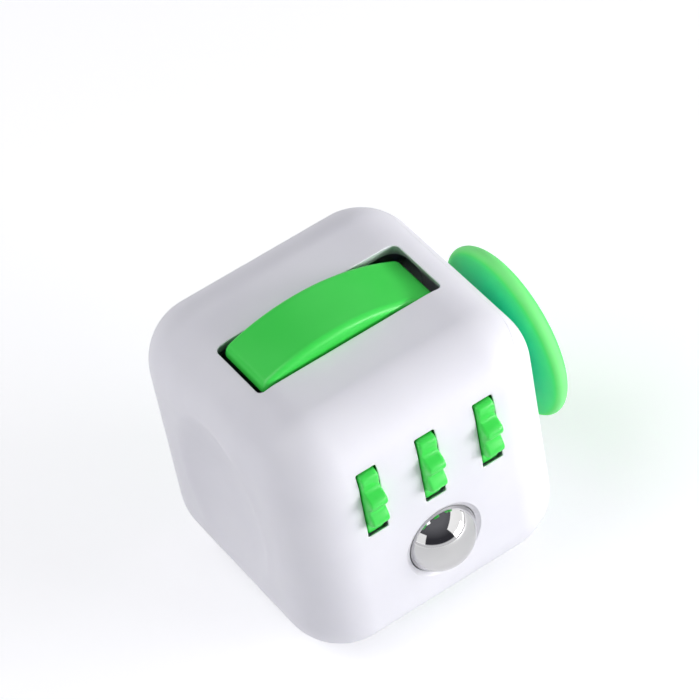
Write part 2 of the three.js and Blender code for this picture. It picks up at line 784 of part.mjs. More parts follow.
const reach = glide.travel * Math.SQRT2; // when it is pushed both ways at once
const glideHole = glide.neck + reach + glide.holeGap;
const layer = {
  carriageTop: -casing.wall - glide.layerGap,
  carriageLow: -casing.wall - glide.layerGap - glide.carriageThickness,
};
layer.retainerTop = layer.carriageLow - glide.layerGap;
layer.retainerLow = layer.retainerTop - glide.retainerThickness;
layer.floorTop = layer.retainerLow - glide.layerGap;
layer.floorLow = layer.floorTop - glideFrame.floorThickness;
const carriage = {
  slotU: glide.block + glide.travel + glide.slideGap,
  slotV: glide.block + glide.slideGap,
};
carriage.u = carriage.slotU + glide.carriageWall;
carriage.v = carriage.slotV + glide.carriageWall;
const pocket = { u: carriage.u + glide.slideGap, v: carriage.v + glide.travel + glide.slideGap };
const retainerRadius = carriage.u + glide.retainerOverlap;
const ringInner = retainerRadius + glideFrame.ringGap;
const ringOuter = ringInner + glideFrame.ringWidth;
const glideFrameRadius = ringOuter + glideFrame.ringGap + glideFrame.wall;
const glideScrewsOut = (glideFrameRadius + glideFrame.bossGap + boss.radius) / Math.SQRT2;
const glideScrews = [
  [glideScrewsOut, glideScrewsOut],
  [glideScrewsOut, -glideScrewsOut],
  [-glideScrewsOut, -glideScrewsOut],
];

// A domed pad with a shallow bowl on top, on a round neck and a square block that can't turn.
function glideCapSolid() {
  const profile = [
    [0, layer.carriageTop - BITE],
    [glide.neck * 0.8, layer.carriageTop - BITE],
    [glide.neck * 0.8, layer.carriageTop],
    [glide.neck, layer.carriageTop],
    [glide.neck, glide.underside - (glide.neckFlare - glide.neck)],
    [glide.neckFlare, glide.underside],
    [glide.capRadius - 0.5, glide.underside],
    [glide.capRadius, glide.widest],
  ];
  const steps = 4;
  for (let i = 1; i <= steps; i++) {
    const angle = (i / steps) * 90 * DEG;
    profile.push([
      glide.capRadius - glide.rimRound * (1 - Math.cos(angle)),
      glide.widest + (glide.top - glide.widest) * Math.sin(angle),
    ]);
  }
  for (let i = 0; i <= steps; i++) {
    const angle = (i / steps) * 90 * DEG;
    profile.push([
      glide.bowlRadius * Math.cos(angle),
      glide.top - glide.bowlDepth * Math.sin(angle) ** 2,
    ]);
  }
  const pad = turned(profile, 0, 0, BIG_SIDES);
  const block = slab(
    -glide.block,
    glide.block,
    -glide.block,
    glide.block,
    layer.carriageLow - glide.layerGap / 2,
    layer.carriageTop,
  );
  return cut(pad.add(block), pilot(0, 0, layer.carriageLow, screw.length));
}

// It slides up and down on the casing's rails, and the pad's block slides sideways in its slot.
function glideCarriageSolid() {
  return cut(
    slab(-carriage.u, carriage.u, -carriage.v, carriage.v, layer.carriageLow, layer.carriageTop),
    slab(
      -carriage.slotU,
      carriage.slotU,
      -carriage.slotV,
      carriage.slotV,
      layer.carriageLow - THROUGH,
      layer.carriageTop + THROUGH,
    ),
  );
}

function glideFrameSolid() {
  const rimTop = layer.retainerTop + glide.layerGap / 2;
  const headHole = screw.head + reach + glide.holeGap;
  const ears = glideScrews.map(([u, v]) => {
    const [near, far] = [glideFrameRadius - glideFrame.wall, Math.hypot(u, v)];
    const arm = slab(-boss.radius, boss.radius, near, far, earTop - boss.earThickness, earTop);
    const turn = (Math.atan2(v, u) - Math.PI / 2) / DEG;
    return join(
      arm.rotate([0, 0, turn]),
      rod(boss.radius, earTop - boss.earThickness, earTop, u, v, SMALL_SIDES),
    );
  });
  return cut(
    join(rod(glideFrameRadius, layer.floorLow, rimTop), ...ears),
    rod(ringOuter + glideFrame.ringGap, layer.floorTop, rimTop + THROUGH),
    rod(headHole, layer.floorLow - THROUGH, layer.floorTop + THROUGH),
    ...glideScrews.map(([u, v]) => earHole(u, v)),
  );
}

function glideMechanism() {
  const group = new THREE.Group();
  const ringGap = 0.07;
  group.add(
    piece("glide_cap", glideCapSolid(), "green"),
    piece("glide_carriage", glideCarriageSolid(), "frame"),
    piece(
      "glide_retainer",
      cut(rod(retainerRadius, layer.retainerLow, layer.retainerTop), earHole(0, 0)),
      "frame",
    ),
    piece(
      "glide_centering_ring",
      cut(
        rod(ringOuter, layer.floorTop + ringGap, layer.retainerTop),
        rod(ringInner, layer.floorTop - THROUGH, 0),
      ),
      "silicone",
    ),
    piece("glide_frame", glideFrameSolid(), "frame"),
    screwAt("glide_cap_screw", 0, 0, layer.retainerLow - 0.02),
  );
  glideScrews.forEach(([u, v], i) =>
    group.add(screwAt(`glide_screw_${i + 1}`, u, v, earTop - boss.earThickness)),
  );
  return group;
}

// Rails on the inside of the casing that the carriage runs between.
function glideRails() {
  const low = layer.carriageLow;
  const [u, v] = [pocket.u, pocket.v];
  return cut(
    slab(-u - glide.rail, u + glide.rail, -v - glide.rail, v + glide.rail, low, -casing.wall + BITE),
    slab(-u, u, -v, v, low - THROUGH, -casing.wall),
  );
}

// ---------------------------------------------------------------- back: the buttons

const buttonPlaces = [
  [0, 0],
  [-1, 1],
  [1, 1],
  [-1, -1],
  [1, -1],
].map(([u, v]) => [u * button.spacing, v * button.spacing]);
const silentButtons = [1, 4]; // these stand on rubber, the others on snap domes
const clickScrewsOut = button.spacing + button.screwsPast;
const clickScrews = [
  [clickScrewsOut, 0],
  [-clickScrewsOut, 0],
  [0, clickScrewsOut],
  [0, -clickScrewsOut],
];
const clickBoss = button.flangeGap + button.flangeThickness + button.press + clickFrame.underFlange;
const clickDepth = casing.wall + clickBoss;
const seatW = -clickDepth - clickFrame.seatDepth;
const domeUnder = (i) => (silentButtons.includes(i) ? rubberDome : snapDome);

function buttonSolid(i) {
  const [u, v] = buttonPlaces[i];
  const under = domeUnder(i);
  const postEnd = seatW + under.height + under.postGap;
  const flangeTop = -casing.wall - button.flangeGap;
  const profile = [
    [0, postEnd],
    [button.post, postEnd],
    [button.post, flangeTop - button.flangeThickness],
    [button.radius + button.flangeLip, flangeTop - button.flangeThickness],
    [button.radius + button.flangeLip, flangeTop],
    [button.radius, flangeTop],
    [button.radius, button.proud - button.edgeRound],
  ];
  const steps = 3;
  for (let n = 1; n <= steps; n++) {
    const angle = (n / steps) * 90 * DEG;
    profile.push([
      button.radius - button.edgeRound * 1.4 * (1 - Math.cos(angle)),
      button.proud - button.edgeRound * (1 - Math.sin(angle)) - 0.12,
    ]);
  }
  profile.push([0, button.proud]);
  return turned(profile, u, v, 20);
}

function clickFrameSolid() {
  const width = 2 * (clickScrewsOut + clickFrame.margin);
  const outline = roundedRectangle(width, width, clickFrame.corner);
  const low = -clickDepth - clickFrame.thickness;
  const seats = buttonPlaces.map(([u, v], i) =>
    rod(domeUnder(i).radius + clickFrame.seatGap, seatW, 0, u, v, SMALL_SIDES),
  );
  return cut(
    plate(outline, low, -clickDepth),
    ...seats,
    ...clickScrews.map(([u, v]) => earHole(u, v)),
  );
}

function clickMechanism() {
  const group = new THREE.Group();
  let [snaps, rubbers] = [0, 0];
  buttonPlaces.forEach(([u, v], i) => {
    group.add(piece(`button_${i + 1}`, buttonSolid(i), "green"));
    const silent = silentButtons.includes(i);
    const name = silent ? `rubber_dome_${++rubbers}` : `snap_dome_${++snaps}`;
    const made = dome(domeUnder(i), seatW + 0.03, u, v, silent ? rubberDome.top : 0);
    group.add(piece(name, made, silent ? "silicone" : "steel"));
  });
  group.add(piece("click_frame", clickFrameSolid(), "frame"));
  const seat = -clickDepth - clickFrame.thickness;
  clickScrews.forEach(([u, v], i) => group.add(screwAt(`click_screw_${i + 1}`, u, v, seat)));
  return group;
}

// ---------------------------------------------------------------- bottom: the dial

const dialUnder = -dial.recess + dial.floorGap;
const padFace = -casing.wall - dial.padThickness;
const hubEnd = padFace - dial.endPlay;

function dialSolid() {
  const round = dial.edgeRound;
  const profile = [
    [0, hubEnd],
    [dial.hub, hubEnd],
    [dial.hub, dialUnder],
    [dial.radius, dialUnder],
    [dial.radius, dial.proud - round],
  ];
  const steps = 3;
  for (let i = 1; i <= steps; i++) {
    const angle = (i / steps) * 90 * DEG;
    profile.push([dial.radius - round * (1 - Math.cos(angle)), dial.proud - round * (1 - Math.sin(angle))]);
  }
  profile.push([0, dial.proud]);
  const { dimpleRadius: across, dimpleDepth: deep } = dial;
  const bowl = (across ** 2 + deep ** 2) / (2 * deep);
  const dimple = new THREE.SphereGeometry(bowl, 24, 24);
  return cut(
    turned(profile, 0, 0, BIG_SIDES),
    solid(dimple.rotateX(90 * DEG).translate(dial.dimpleAt, 0, dial.proud + bowl - deep)),
    pilot(0, 0, hubEnd, screw.length - dial.washerThickness + 0.3),
  );
}

function spinMechanism() {
  const group = new THREE.Group();
  const washerTop = hubEnd - 0.02;
  const washerLow = washerTop - dial.washerThickness;
  group.add(
    piece("spin_dial", dialSolid(), "green"),
    piece("spin_washer", cut(rod(dial.washer, washerLow, washerTop), earHole(0, 0)), "steel"),
    screwAt("spin_screw", 0, 0, washerLow - 0.02),
  );
  return group;
}

// ---------------------------------------------------------------- the casing

// The bowl of the thumb rest: an ellipsoid whose centre stands out of the face, grown on every side.
function bowl(grown = 0) {
  const deep = dish.centreOut + dish.depth;
  const share = Math.sqrt(1 - (dish.centreOut / deep) ** 2);
  const ellipsoid = new THREE.SphereGeometry(1, 28, 20);
  ellipsoid.scale(dish.width / 2 / share + grown, dish.length / 2 / share + grown, deep + grown);
  return solid(ellipsoid.translate(0, 0, dish.centreOut));
}

// The three faces front, left and top, as pyramids that meet at the cube's centre.
function frontRegion(shift) {
  const height = casing.edge;
  const pyramid = () =>
    solid(
      new THREE.ConeGeometry(height * Math.SQRT2, height, 4, 1, false, 45 * DEG)
        .rotateX(-90 * DEG)
        .translate(0, 0, height / 2 - half),
    );
  const region = join(...["front", "left", "top"].map((face) => onFace(face, pyramid())));
  return region.translate([shift, shift, -shift]);
}

// Places along the seam where the front shell has a tongue behind the rear shell.
function lipWindows() {
  const out = casing.edge / 2;
  const size = casing.corner + casing.lipReach;
  const wide = casing.lipWidth / 2;
  const clearOfRocker = rocker.openingWidth / 2 + 1 + wide / 2;
  const corners = [
    { x: 1, y: -1 },
    { x: -1, y: 1 },
    { y: -1, z: -1 },
    { y: 1, z: 1 },
    { x: -1, z: -1 },
    { x: 1, z: 1, at: clearOfRocker, wide: wide / 2 },
  ];
  return join(
    ...corners.map((corner) => {
      const sized = ["x", "y", "z"].map((axis) => (corner[axis] ? size : 2 * (corner.wide ?? wide)));
      const centre = ["x", "y", "z"].map((axis) =>
        corner[axis] ? corner[axis] * (out - size / 2) : (corner.at ?? 0),
      );
      return solid(new THREE.BoxGeometry(...sized).translate(...centre));
    }),
  );
}

function lips() {
  const { wall, lipThickness, lipGap, lipReach } = casing;
  const inner = roundedCube(wall + lipThickness);
  const rooted = cut(roundedCube(wall - BITE), inner).intersect(frontRegion(0));
  const tongue = cut(roundedCube(wall + lipGap), inner).intersect(frontRegion(lipReach / Math.SQRT2));
  return rooted.add(tongue).subtract(frontRegion(-lipReach / Math.SQRT2)).intersect(lipWindows());
}

function shells() {
  const hollow = cut(
    roundedCube(0),
    cut(roundedCube(casing.wall), onFace("left", bowl(casing.wall))),
    onFace("left", bowl()),
  );
  const padRadius = dial.radius + dial.gap + dial.padMargin;
  const features = [
    ...rockerScrews.map(([u, v]) => onFace("top", bossAt(u, v))),
    ...rollScrews.map(([u, v]) => onFace("front", bossAt(u, v))),
    ...glideScrews.map(([u, v]) => onFace("right", bossAt(u, v))),
    ...clickScrews.map(([u, v]) => onFace("behind", bossAt(u, v, clickBoss))),
    onFace("right", glideRails()),
    onFace("bottom", rod(padRadius, padFace, -casing.wall + BITE, 0, 0, BIG_SIDES)),
  ];
  const recess = rod(dial.radius + dial.gap, -dial.recess, THROUGH, 0, 0, BIG_SIDES);
  const hubHole = rod(dial.hub + dial.hubGap, padFace - THROUGH, 0, 0, 0);
  const openings = [
    onFace("top", rockerOpening()),
    ...gearPlaces.map((u) => onFace("front", gearSlot(u))),
    onFace("front", ballHole()),
    onFace("right", rod(glideHole, -casing.wall - THROUGH, THROUGH)),
    ...buttonPlaces.map(([u, v]) =>
      onFace("behind", rod(button.radius + button.gap, -casing.wall - THROUGH, THROUGH, u, v)),
    ),
    onFace("bottom", recess.add(hubHole)),
    ...rockerScrews.map(([u, v]) => onFace("top", bossPilot(u, v))),
    ...rollScrews.map(([u, v]) => onFace("front", bossPilot(u, v))),
    ...glideScrews.map(([u, v]) => onFace("right", bossPilot(u, v))),
    ...clickScrews.map(([u, v]) => onFace("behind", bossPilot(u, v, clickBoss))),
  ];
  const whole = join(hollow, ...features);
  const gapShift = casing.seamGap / Math.SQRT2;
  const front = cut(whole.intersect(frontRegion(0)).add(lips()), ...openings);
  const rear = cut(whole, frontRegion(gapShift), ...openings);
  return [piece("front_shell", front, "shell"), piece("rear_shell", rear, "shell")];
}

// ---------------------------------------------------------------- the cube

const cube = new THREE.Group();
cube.position.z = half + dial.proud;
cube.add(...shells());

const mechanisms = {
  top: flipMechanism(),
  front: rollMechanism(),
  right: glideMechanism(),
  behind: clickMechanism(),
  bottom: spinMechanism(),
};
for (const [face, mechanism] of Object.entries(mechanisms)) {
  mechanism.applyMatrix4(faces[face]);
  cube.add(mechanism);
}

const fidgetCube = new THREE.Group();
fidgetCube.add(cube);
export default fidgetCube;
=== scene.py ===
"""The look of a fidget cube: its two casing shells, rocker, wheels, ball, glide pad, buttons and dial."""

import math

import bmesh
import bpy
import numpy as np
from mathutils import Matrix, Vector
from mathutils.geometry import delaunay_2d_cdt
from mathutils.kdtree import KDTree


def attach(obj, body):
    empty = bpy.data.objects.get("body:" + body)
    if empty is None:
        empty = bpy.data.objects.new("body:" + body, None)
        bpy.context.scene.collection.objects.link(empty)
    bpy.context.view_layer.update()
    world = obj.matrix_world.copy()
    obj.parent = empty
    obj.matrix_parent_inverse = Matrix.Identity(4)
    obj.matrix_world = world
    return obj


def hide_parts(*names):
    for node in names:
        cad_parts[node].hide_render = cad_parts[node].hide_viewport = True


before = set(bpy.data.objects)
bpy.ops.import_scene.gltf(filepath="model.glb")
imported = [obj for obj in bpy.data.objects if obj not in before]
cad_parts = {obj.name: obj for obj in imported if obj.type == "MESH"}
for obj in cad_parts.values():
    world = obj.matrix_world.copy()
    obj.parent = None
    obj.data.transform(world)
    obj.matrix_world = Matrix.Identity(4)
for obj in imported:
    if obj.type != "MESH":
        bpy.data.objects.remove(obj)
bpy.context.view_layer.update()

# ---------------------------------------------------------------- sizes, in millimetres

MM = 0.001
HALF = 16.5  # half the casing's edge
CORNER = 7.0  # rounding of the casing's edges
WALL = 1.8
FLAT = HALF - CORNER
CENTRE = np.array([0.0, 0.0, 17.8])  # the middle of the casing
SEAM = 0.012  # how far each shell stops short of the seam plane
SEAM_ROUND = 0.03
DISH = dict(length=22.5, width=15.4, depth=2.2, out=4.0, soft=0.55)

# Openings: their sizes along u and v and the radius of their corners, the rounding of their edges, and how
# far they widen inside the wall.
LIP = 0.25
ROCKER_OPENING = (23.0, 8.6, 0.7)
ROCKER_LIP = 0.12
ROCKER_UNDERCUT = 0.8
WHEEL_SLOT = (2.5, 9.2, 0.2)
SLOT_LIP = 0.1
SLOT_UNDERCUT = 1.5
SLOT_DROP = 0.15  # the slots' middle under the wheels' axis
MOUTH_RADIUS = 4.2  # of the ball's mouth at its narrowest
GLIDE_HOLE = 5.38
DIAL_RECESS = 9.9

WHEEL_PITCH = 7.3
WHEEL_HEIGHT = 7.0  # the wheels' axis over the middle of the front face
WHEEL_AXIS = (-11.9, 24.8)  # y and z
WHEEL_ROOT = 5.45
TOOTH_HEIGHT = 0.85
TOOTH_TURN = math.radians(8.5)  # the front tooth's angle over straight out
BALL_RADIUS = 4.35
BALL_CENTRE = (0.0, -14.85, 13.3)
BALL_HEIGHT = -4.5  # on the front face
BUTTON_RADIUS = 2.75
BUTTON_GAP = 0.2
BUTTON_PLACES = [(0, 0), (-6.2, 6.2), (6.2, 6.2), (-6.2, -6.2), (6.2, -6.2)]
RUBBER_BUTTONS = (1, 4)  # they sit on taller domes, so their posts are shorter
DIAL_RADIUS = 9.6
ROCKER_PIVOT = (0.0, 0.0, 30.3)
ROCKER_TILT = math.radians(5)

# Screw bosses as (u, v) on each face, with the height of the boss and the seat of the screw heads.
BOSSES = {
    "top": ([(u, v) for u in (-3.65, 3.65) for v in (-7.0, 7.0)], 1.8, -4.8),
    "front": ([(u, v) for u in (-7.6, 7.6) for v in (-1.45, -7.9)], 1.8, -4.8),
    "right": ([(7.6, 7.6), (7.6, -7.6), (-7.6, -7.6)], 1.8, -4.8),
    "behind": ([(7.4, 0), (-7.4, 0), (0, 7.4), (0, -7.4)], 3.4, -6.5),
}

# Each face's own frame: u to the right, v up, w out of the face.
FACES = {
    "top": ((1, 0, 0), (0, 1, 0), (0, 0, 1)),
    "front": ((1, 0, 0), (0, 0, 1), (0, -1, 0)),
    "left": ((0, -1, 0), (0, 0, 1), (-1, 0, 0)),
    "right": ((0, 1, 0), (0, 0, 1), (1, 0, 0)),
    "behind": ((-1, 0, 0), (0, 0, 1), (0, 1, 0)),
    "bottom": ((1, 0, 0), (0, -1, 0), (0, 0, -1)),
}
FACES = {name: np.array(axes, float) for name, axes in FACES.items()}
FRONT_SHELL = ("front", "left", "top")
REAR_SHELL = ("behind", "right", "bottom")


def on_face(face, points):
    """Points given as (u, v, w) on a face, moved to the cube's place."""
    points = np.asarray(points, float) + [0, 0, HALF]
    return points @ FACES[face] + CENTRE


def facing(face, normals):
    return np.asarray(normals, float) @ FACES[face]


def to_face(face):
    """Two functions that take points and normals given on a face to the cube's place."""
    return (lambda points: on_face(face, points)), (lambda normals: facing(face, normals))


# ---------------------------------------------------------------- mesh building


def unit(vectors):
    length = np.linalg.norm(vectors, axis=-1, keepdims=True)
    return vectors / np.where(length > 1e-12, length, 1)


def new_object(name, mesh):
    made = bpy.data.objects.new(name, mesh)
    bpy.context.scene.collection.objects.link(made)
    return made


def mesh_of(bm, name):
    """A mesh from what a BMesh holds."""
    mesh = bpy.data.meshes.new(name)
    bm.to_mesh(mesh)
    bm.free()
    return mesh


class Shape:
    """Faces with a normal at each corner, gathered in millimetres and welded at the end."""

    def __init__(self):
        self.points, self.faces, self.normals, self.count = [], [], [], 0

    def add(self, points, faces, normals):
        """normals: one for each point, or a list for each face's corners."""
        per_corner = isinstance(normals, list)
        for at, face in enumerate(faces):
            self.faces.append([self.count + i for i in face])
            self.normals.append(normals[at] if per_corner else [normals[i] for i in face])
        self.points.append(np.asarray(points, float))
        self.count += len(points)

    def loft(self, rings, ends, closed=True, flip=False):
        """Joins rings of points. ends[k] holds the normals at both ends of the band from ring k to k + 1."""
        count = len(rings[0])
        for k in range(len(rings) - 1):
            points = np.vstack([rings[k], rings[k + 1]])
            faces, normals = [], []
            for i in range(count if closed else count - 1):
                j = (i + 1) % count
                corners = [i, j, count + j, count + i]
                both = [ends[k][0][i], ends[k][0][j], ends[k][1][j], ends[k][1][i]]
                if flip:
                    corners, both = corners[::-1], both[::-1]
                faces.append(corners)
                normals.append(both)
            self.add(points, faces, normals)

    def object(self, name, reach=0.0015):
        """Welds what touches and makes the object, with the corner normals kept."""
        points = np.vstack(self.points)
        tree = KDTree(len(points))
        for i, p in enumerate(points):
            tree.insert(p, i)
        tree.balance()
        first = list(range(len(points)))
        for i, p in enumerate(points):
            if first[i] == i:
                for _, j, _ in tree.find_range(p, reach):
                    if j > i and first[j] == j:
                        first[j] = i
        used, faces, normals, seen = {}, [], [], set()
        for face, around in zip(self.faces, self.normals):
            corners, kept = [], []
            for i, n in zip(face, around):
                if first[i] not in corners:
                    corners.append(first[i])
                    kept.append(n)
            key = tuple(sorted(corners))
            if len(corners) < 3 or key in seen:
                continue
            seen.add(key)
            faces.append([used.setdefault(i, len(used)) for i in corners])
            normals.extend(tuple(n) for n in kept)
        order = sorted(used, key=used.get)
        mesh = bpy.data.meshes.new(name)
        mesh.from_pydata([tuple(points[i] * MM) for i in order], [], faces)
        mesh.shade_smooth()
        mesh.normals_split_custom_set(normals)
        return new_object(name, mesh)


def profile_ends(profile, crease=35):
    """For each band of a turned profile, the (radial, along) normals at its two ends."""
    profile = np.asarray(profile, float)
    steps = unit(np.diff(profile, axis=0))
    flat = np.stack([steps[:, 1], -steps[:, 0]], 1)
    ends = []
    for k, n in enumerate(flat):
        pair = []
        for other in (k - 1, k + 1):
            near = 0 <= other < len(flat) and flat[other] @ n > math.cos(math.radians(crease))
            pair.append(unit(flat[other] + n) if near else n)
        ends.append(pair)
    return ends


def turned(shape, profile, count, move, turn, centre=(0, 0)):
    """A turned solid about w, from (radius, w) points that run from its low end to its high end. move and
    turn take its points and its normals to the cube."""
    around = circle(1, count)[0]
    rings = [move(np.column_stack([centre + r * around, np.full(count, w)])) for r, w in profile]
    ends = [
        [turn(np.column_stack([n[0] * around, np.full(count, n[1])])) for n in pair]
        for pair in profile_ends(profile)
    ]
    shape.loft(rings, ends)


def arc(centre, radius, start, end, steps):
    """Points on an arc, as (across, along), between two angles in degrees."""
    across, along = (radius, radius) if np.isscalar(radius) else radius
    angles = np.radians(np.linspace(start, end, steps + 1))
    return [(centre[0] + across * math.cos(a), centre[1] + along * math.sin(a)) for a in angles]


def circle(radius, count, centre=(0, 0)):
    """A loop and its outward normals."""
    angle = np.arange(count) * 2 * math.pi / count
    around = np.stack([np.cos(angle), np.sin(angle)], 1)
    return radius * around + centre, around


def rounded_rectangle(length, width, corner, centre=(0, 0), spacing=0.6, per_corner=6):
    """A loop with rounded corners, counter-clockwise, and its outward normals."""
    x, y = length / 2 - corner, width / 2 - corner
    points, normals = [], []
    corners = ((x, y, 0, 2 * x), (-x, y, 90, 2 * y), (-x, -y, 180, 2 * x), (x, -y, 270, 2 * y))
    for cx, cy, start, run in corners:
        for i in range(per_corner + 1):
            a = math.radians(start + 90 * i / per_corner)
            n = np.array([math.cos(a), math.sin(a)])
            points.append(np.array([cx, cy]) + corner * n)
            normals.append(n)
        n = normals[-1]
        along = np.array([-n[1], n[0]])
        steps = max(1, int(run / spacing))
        base = points[-1]
        for i in range(1, steps):
            points.append(base + along * run * i / steps)
            normals.append(n)
    return np.array(points) + centre, np.array(normals)


def inside(points, loop):
    """Which points lie inside a closed loop."""
    x, y = points[:, 0], points[:, 1]
    within = np.zeros(len(points), bool)
    for (x0, y0), (x1, y1) in zip(loop, np.roll(loop, -1, 0)):
        if y0 == y1:
            continue
        crosses = ((y0 > y) != (y1 > y)) & (x < (x1 - x0) * (y - y0) / (y1 - y0) + x0)
        within ^= crosses
    return within


def clear_of(points, loops, gap):
    """The points that are further than gap from every loop, and outside all of them."""
    keep = np.ones(len(points), bool)
    for loop in loops:
        for a in range(0, len(points), 2000):
            part = points[a : a + 2000]
            near = np.min(np.linalg.norm(part[:, None] - loop[None], axis=2), 1) < gap
            keep[a : a + 2000] &= ~(near | inside(part, loop))
    return points[keep]


def sheet(shape, outline, holes, filling, height, normal, move, turn, flip=False):
    """A surface over the (u, v) area inside an outline and outside its holes."""
    loops = [outline, *holes]
    flat = np.vstack([*loops, filling]) if len(filling) else np.vstack(loops)
    edges, start = [], 0
    for loop in loops:
        edges += [(start + i, start + (i + 1) % len(loop)) for i in range(len(loop))]
        start += len(loop)
    verts, _, faces, *_ = delaunay_2d_cdt([Vector(p) for p in flat], edges, [], 0, 1e-6)
    verts = np.array([tuple(v) for v in verts])
    faces = np.array([tuple(f) for f in faces])
    middles = verts[faces].mean(1)
    keep = inside(middles, outline)
    for loop in holes:
        keep &= ~inside(middles, loop)
    faces = faces[keep]
    points = move(np.column_stack([verts, height(verts[:, 0], verts[:, 1])]))
    normals = turn(normal(verts[:, 0], verts[:, 1]))
    if flip:
        faces, normals = faces[:, ::-1], -normals
    shape.add(points, faces.tolist(), normals)


# ---------------------------------------------------------------- the casing

NEXT_TO = {
    face: [name for axis in (u, v, -u, -v) for name, a in FACES.items() if np.allclose(a[2], axis)]
    for face, (u, v, w) in FACES.items()
}  # the neighbours at +u, +v, -u and -v


def past_flat(u):
    return np.sign(u) * np.maximum(np.abs(u) - FLAT, 0)


def skin(u, v, radius=CORNER):
    """Height of the rounded cube over a face's plane. The inner skin has the smaller radius."""
    return -CORNER + np.sqrt(np.maximum(radius**2 - past_flat(u) ** 2 - past_flat(v) ** 2, 0))


def skin_normal(u, v, radius=CORNER):
    du, dv = past_flat(u), past_flat(v)
    return unit(np.column_stack([du, dv, np.sqrt(np.maximum(radius**2 - du**2 - dv**2, 1e-9))]))


def inner_skin(u, v):
    return skin(u, v, CORNER - WALL)


def inner_normal(u, v):
    return skin_normal(u, v, CORNER - WALL)


def bowl(u, v, grown=0.0):
    """The thumb rest: an ellipsoid whose middle stands out of the face."""
    deep = DISH["out"] + DISH["depth"]
    share = math.sqrt(1 - (DISH["out"] / deep) ** 2)
    a, b = DISH["width"] / 2 / share + grown, DISH["length"] / 2 / share + grown
    return DISH["out"] - (deep + grown) * np.sqrt(np.maximum(1 - (u / a) ** 2 - (v / b) ** 2, 0))


def dished(u, v, grown=0.0, soft=None):
    """The left face's skin, with the bowl blended into it."""
    soft = DISH["soft"] if soft is None else soft
    plain = inner_skin(u, v) if grown else skin(u, v)
    low = bowl(u, v, grown)
    blend = np.maximum(soft - np.abs(plain - low), 0) / soft
    return np.minimum(plain, low) - blend**2 * soft / 4


def slope_normal(height):
    def normal(u, v):
        e = 0.02
        du = (height(u + e, v) - height(u - e, v)) / (2 * e)
        dv = (height(u, v + e) - height(u, v - e)) / (2 * e)
        return unit(np.column_stack([-du, -dv, np.ones(len(u))]))

    return normal


def border(radius, reach, along_flat=18, along_corner=10):
    """The rim of a face's area, as four runs of (u, v, w) points, one for each side. reach[i] is 1 where the
    side runs on into its neighbour and a little less where it stops at the seam."""
    runs = []
    for i, out in enumerate(reach):
        before, after = reach[i - 1], reach[(i + 1) % 4]
        steps = np.tan(np.radians(45) * np.arange(along_corner, 0, -1) / along_corner)
        ends = np.concatenate([-before * steps, np.zeros(along_flat + 1), after * steps[::-1]])
        corner = np.full(along_corner, FLAT)
        flat = np.concatenate([-corner, np.linspace(-FLAT, FLAT, along_flat + 1), corner])
        length = np.sqrt(out**2 + ends**2 + 1)
        along = flat + radius * ends / length
        away = FLAT + radius * out / length
        w = -CORNER + radius / length
        u, v = [(away, along), (-along, away), (-away, -along), (along, -away)][i]
        runs.append(np.column_stack([u, v, w]))
    return runs


def outline_of(runs):
    return np.vstack([run[:-1] for run in runs])[:, :2]


def grid(lines_u, lines_v, radius, share=0.93):
    """Points of a grid that lie within a face's rounded area."""
    u, v = (a.ravel() for a in np.meshgrid(lines_u, lines_v))
    du, dv = np.abs(past_flat(u)), np.abs(past_flat(v))
    up = np.sqrt(np.maximum(radius**2 - du**2 - dv**2, 0))
    keep = np.maximum(du, dv) < share * up
    return np.column_stack([u, v])[keep]


def lines(radius, steps, flat_steps):
    bend = FLAT + radius * np.sin(np.radians(np.linspace(0, 45, steps + 1))[1:])
    return np.concatenate([-bend[::-1], np.linspace(-FLAT, FLAT, flat_steps + 1), bend])


def rounded_lip(radius=LIP, steps=4, at=0.0):
    """Stations of an opening's rounded edge: (offset outwards, what the depth is measured from, depth)."""
    return [
        (at + radius * (1 - math.sin(a)), "skin", radius * (1 - math.cos(a)))
        for a in np.radians(np.linspace(0, 90, steps + 1))
    ]


def through():
    """Stations of a plain opening through the wall, with a small chamfer inside."""
    return [*rounded_lip(), (0.0, "inner", -0.12), (0.12, "inner", 0.0)]


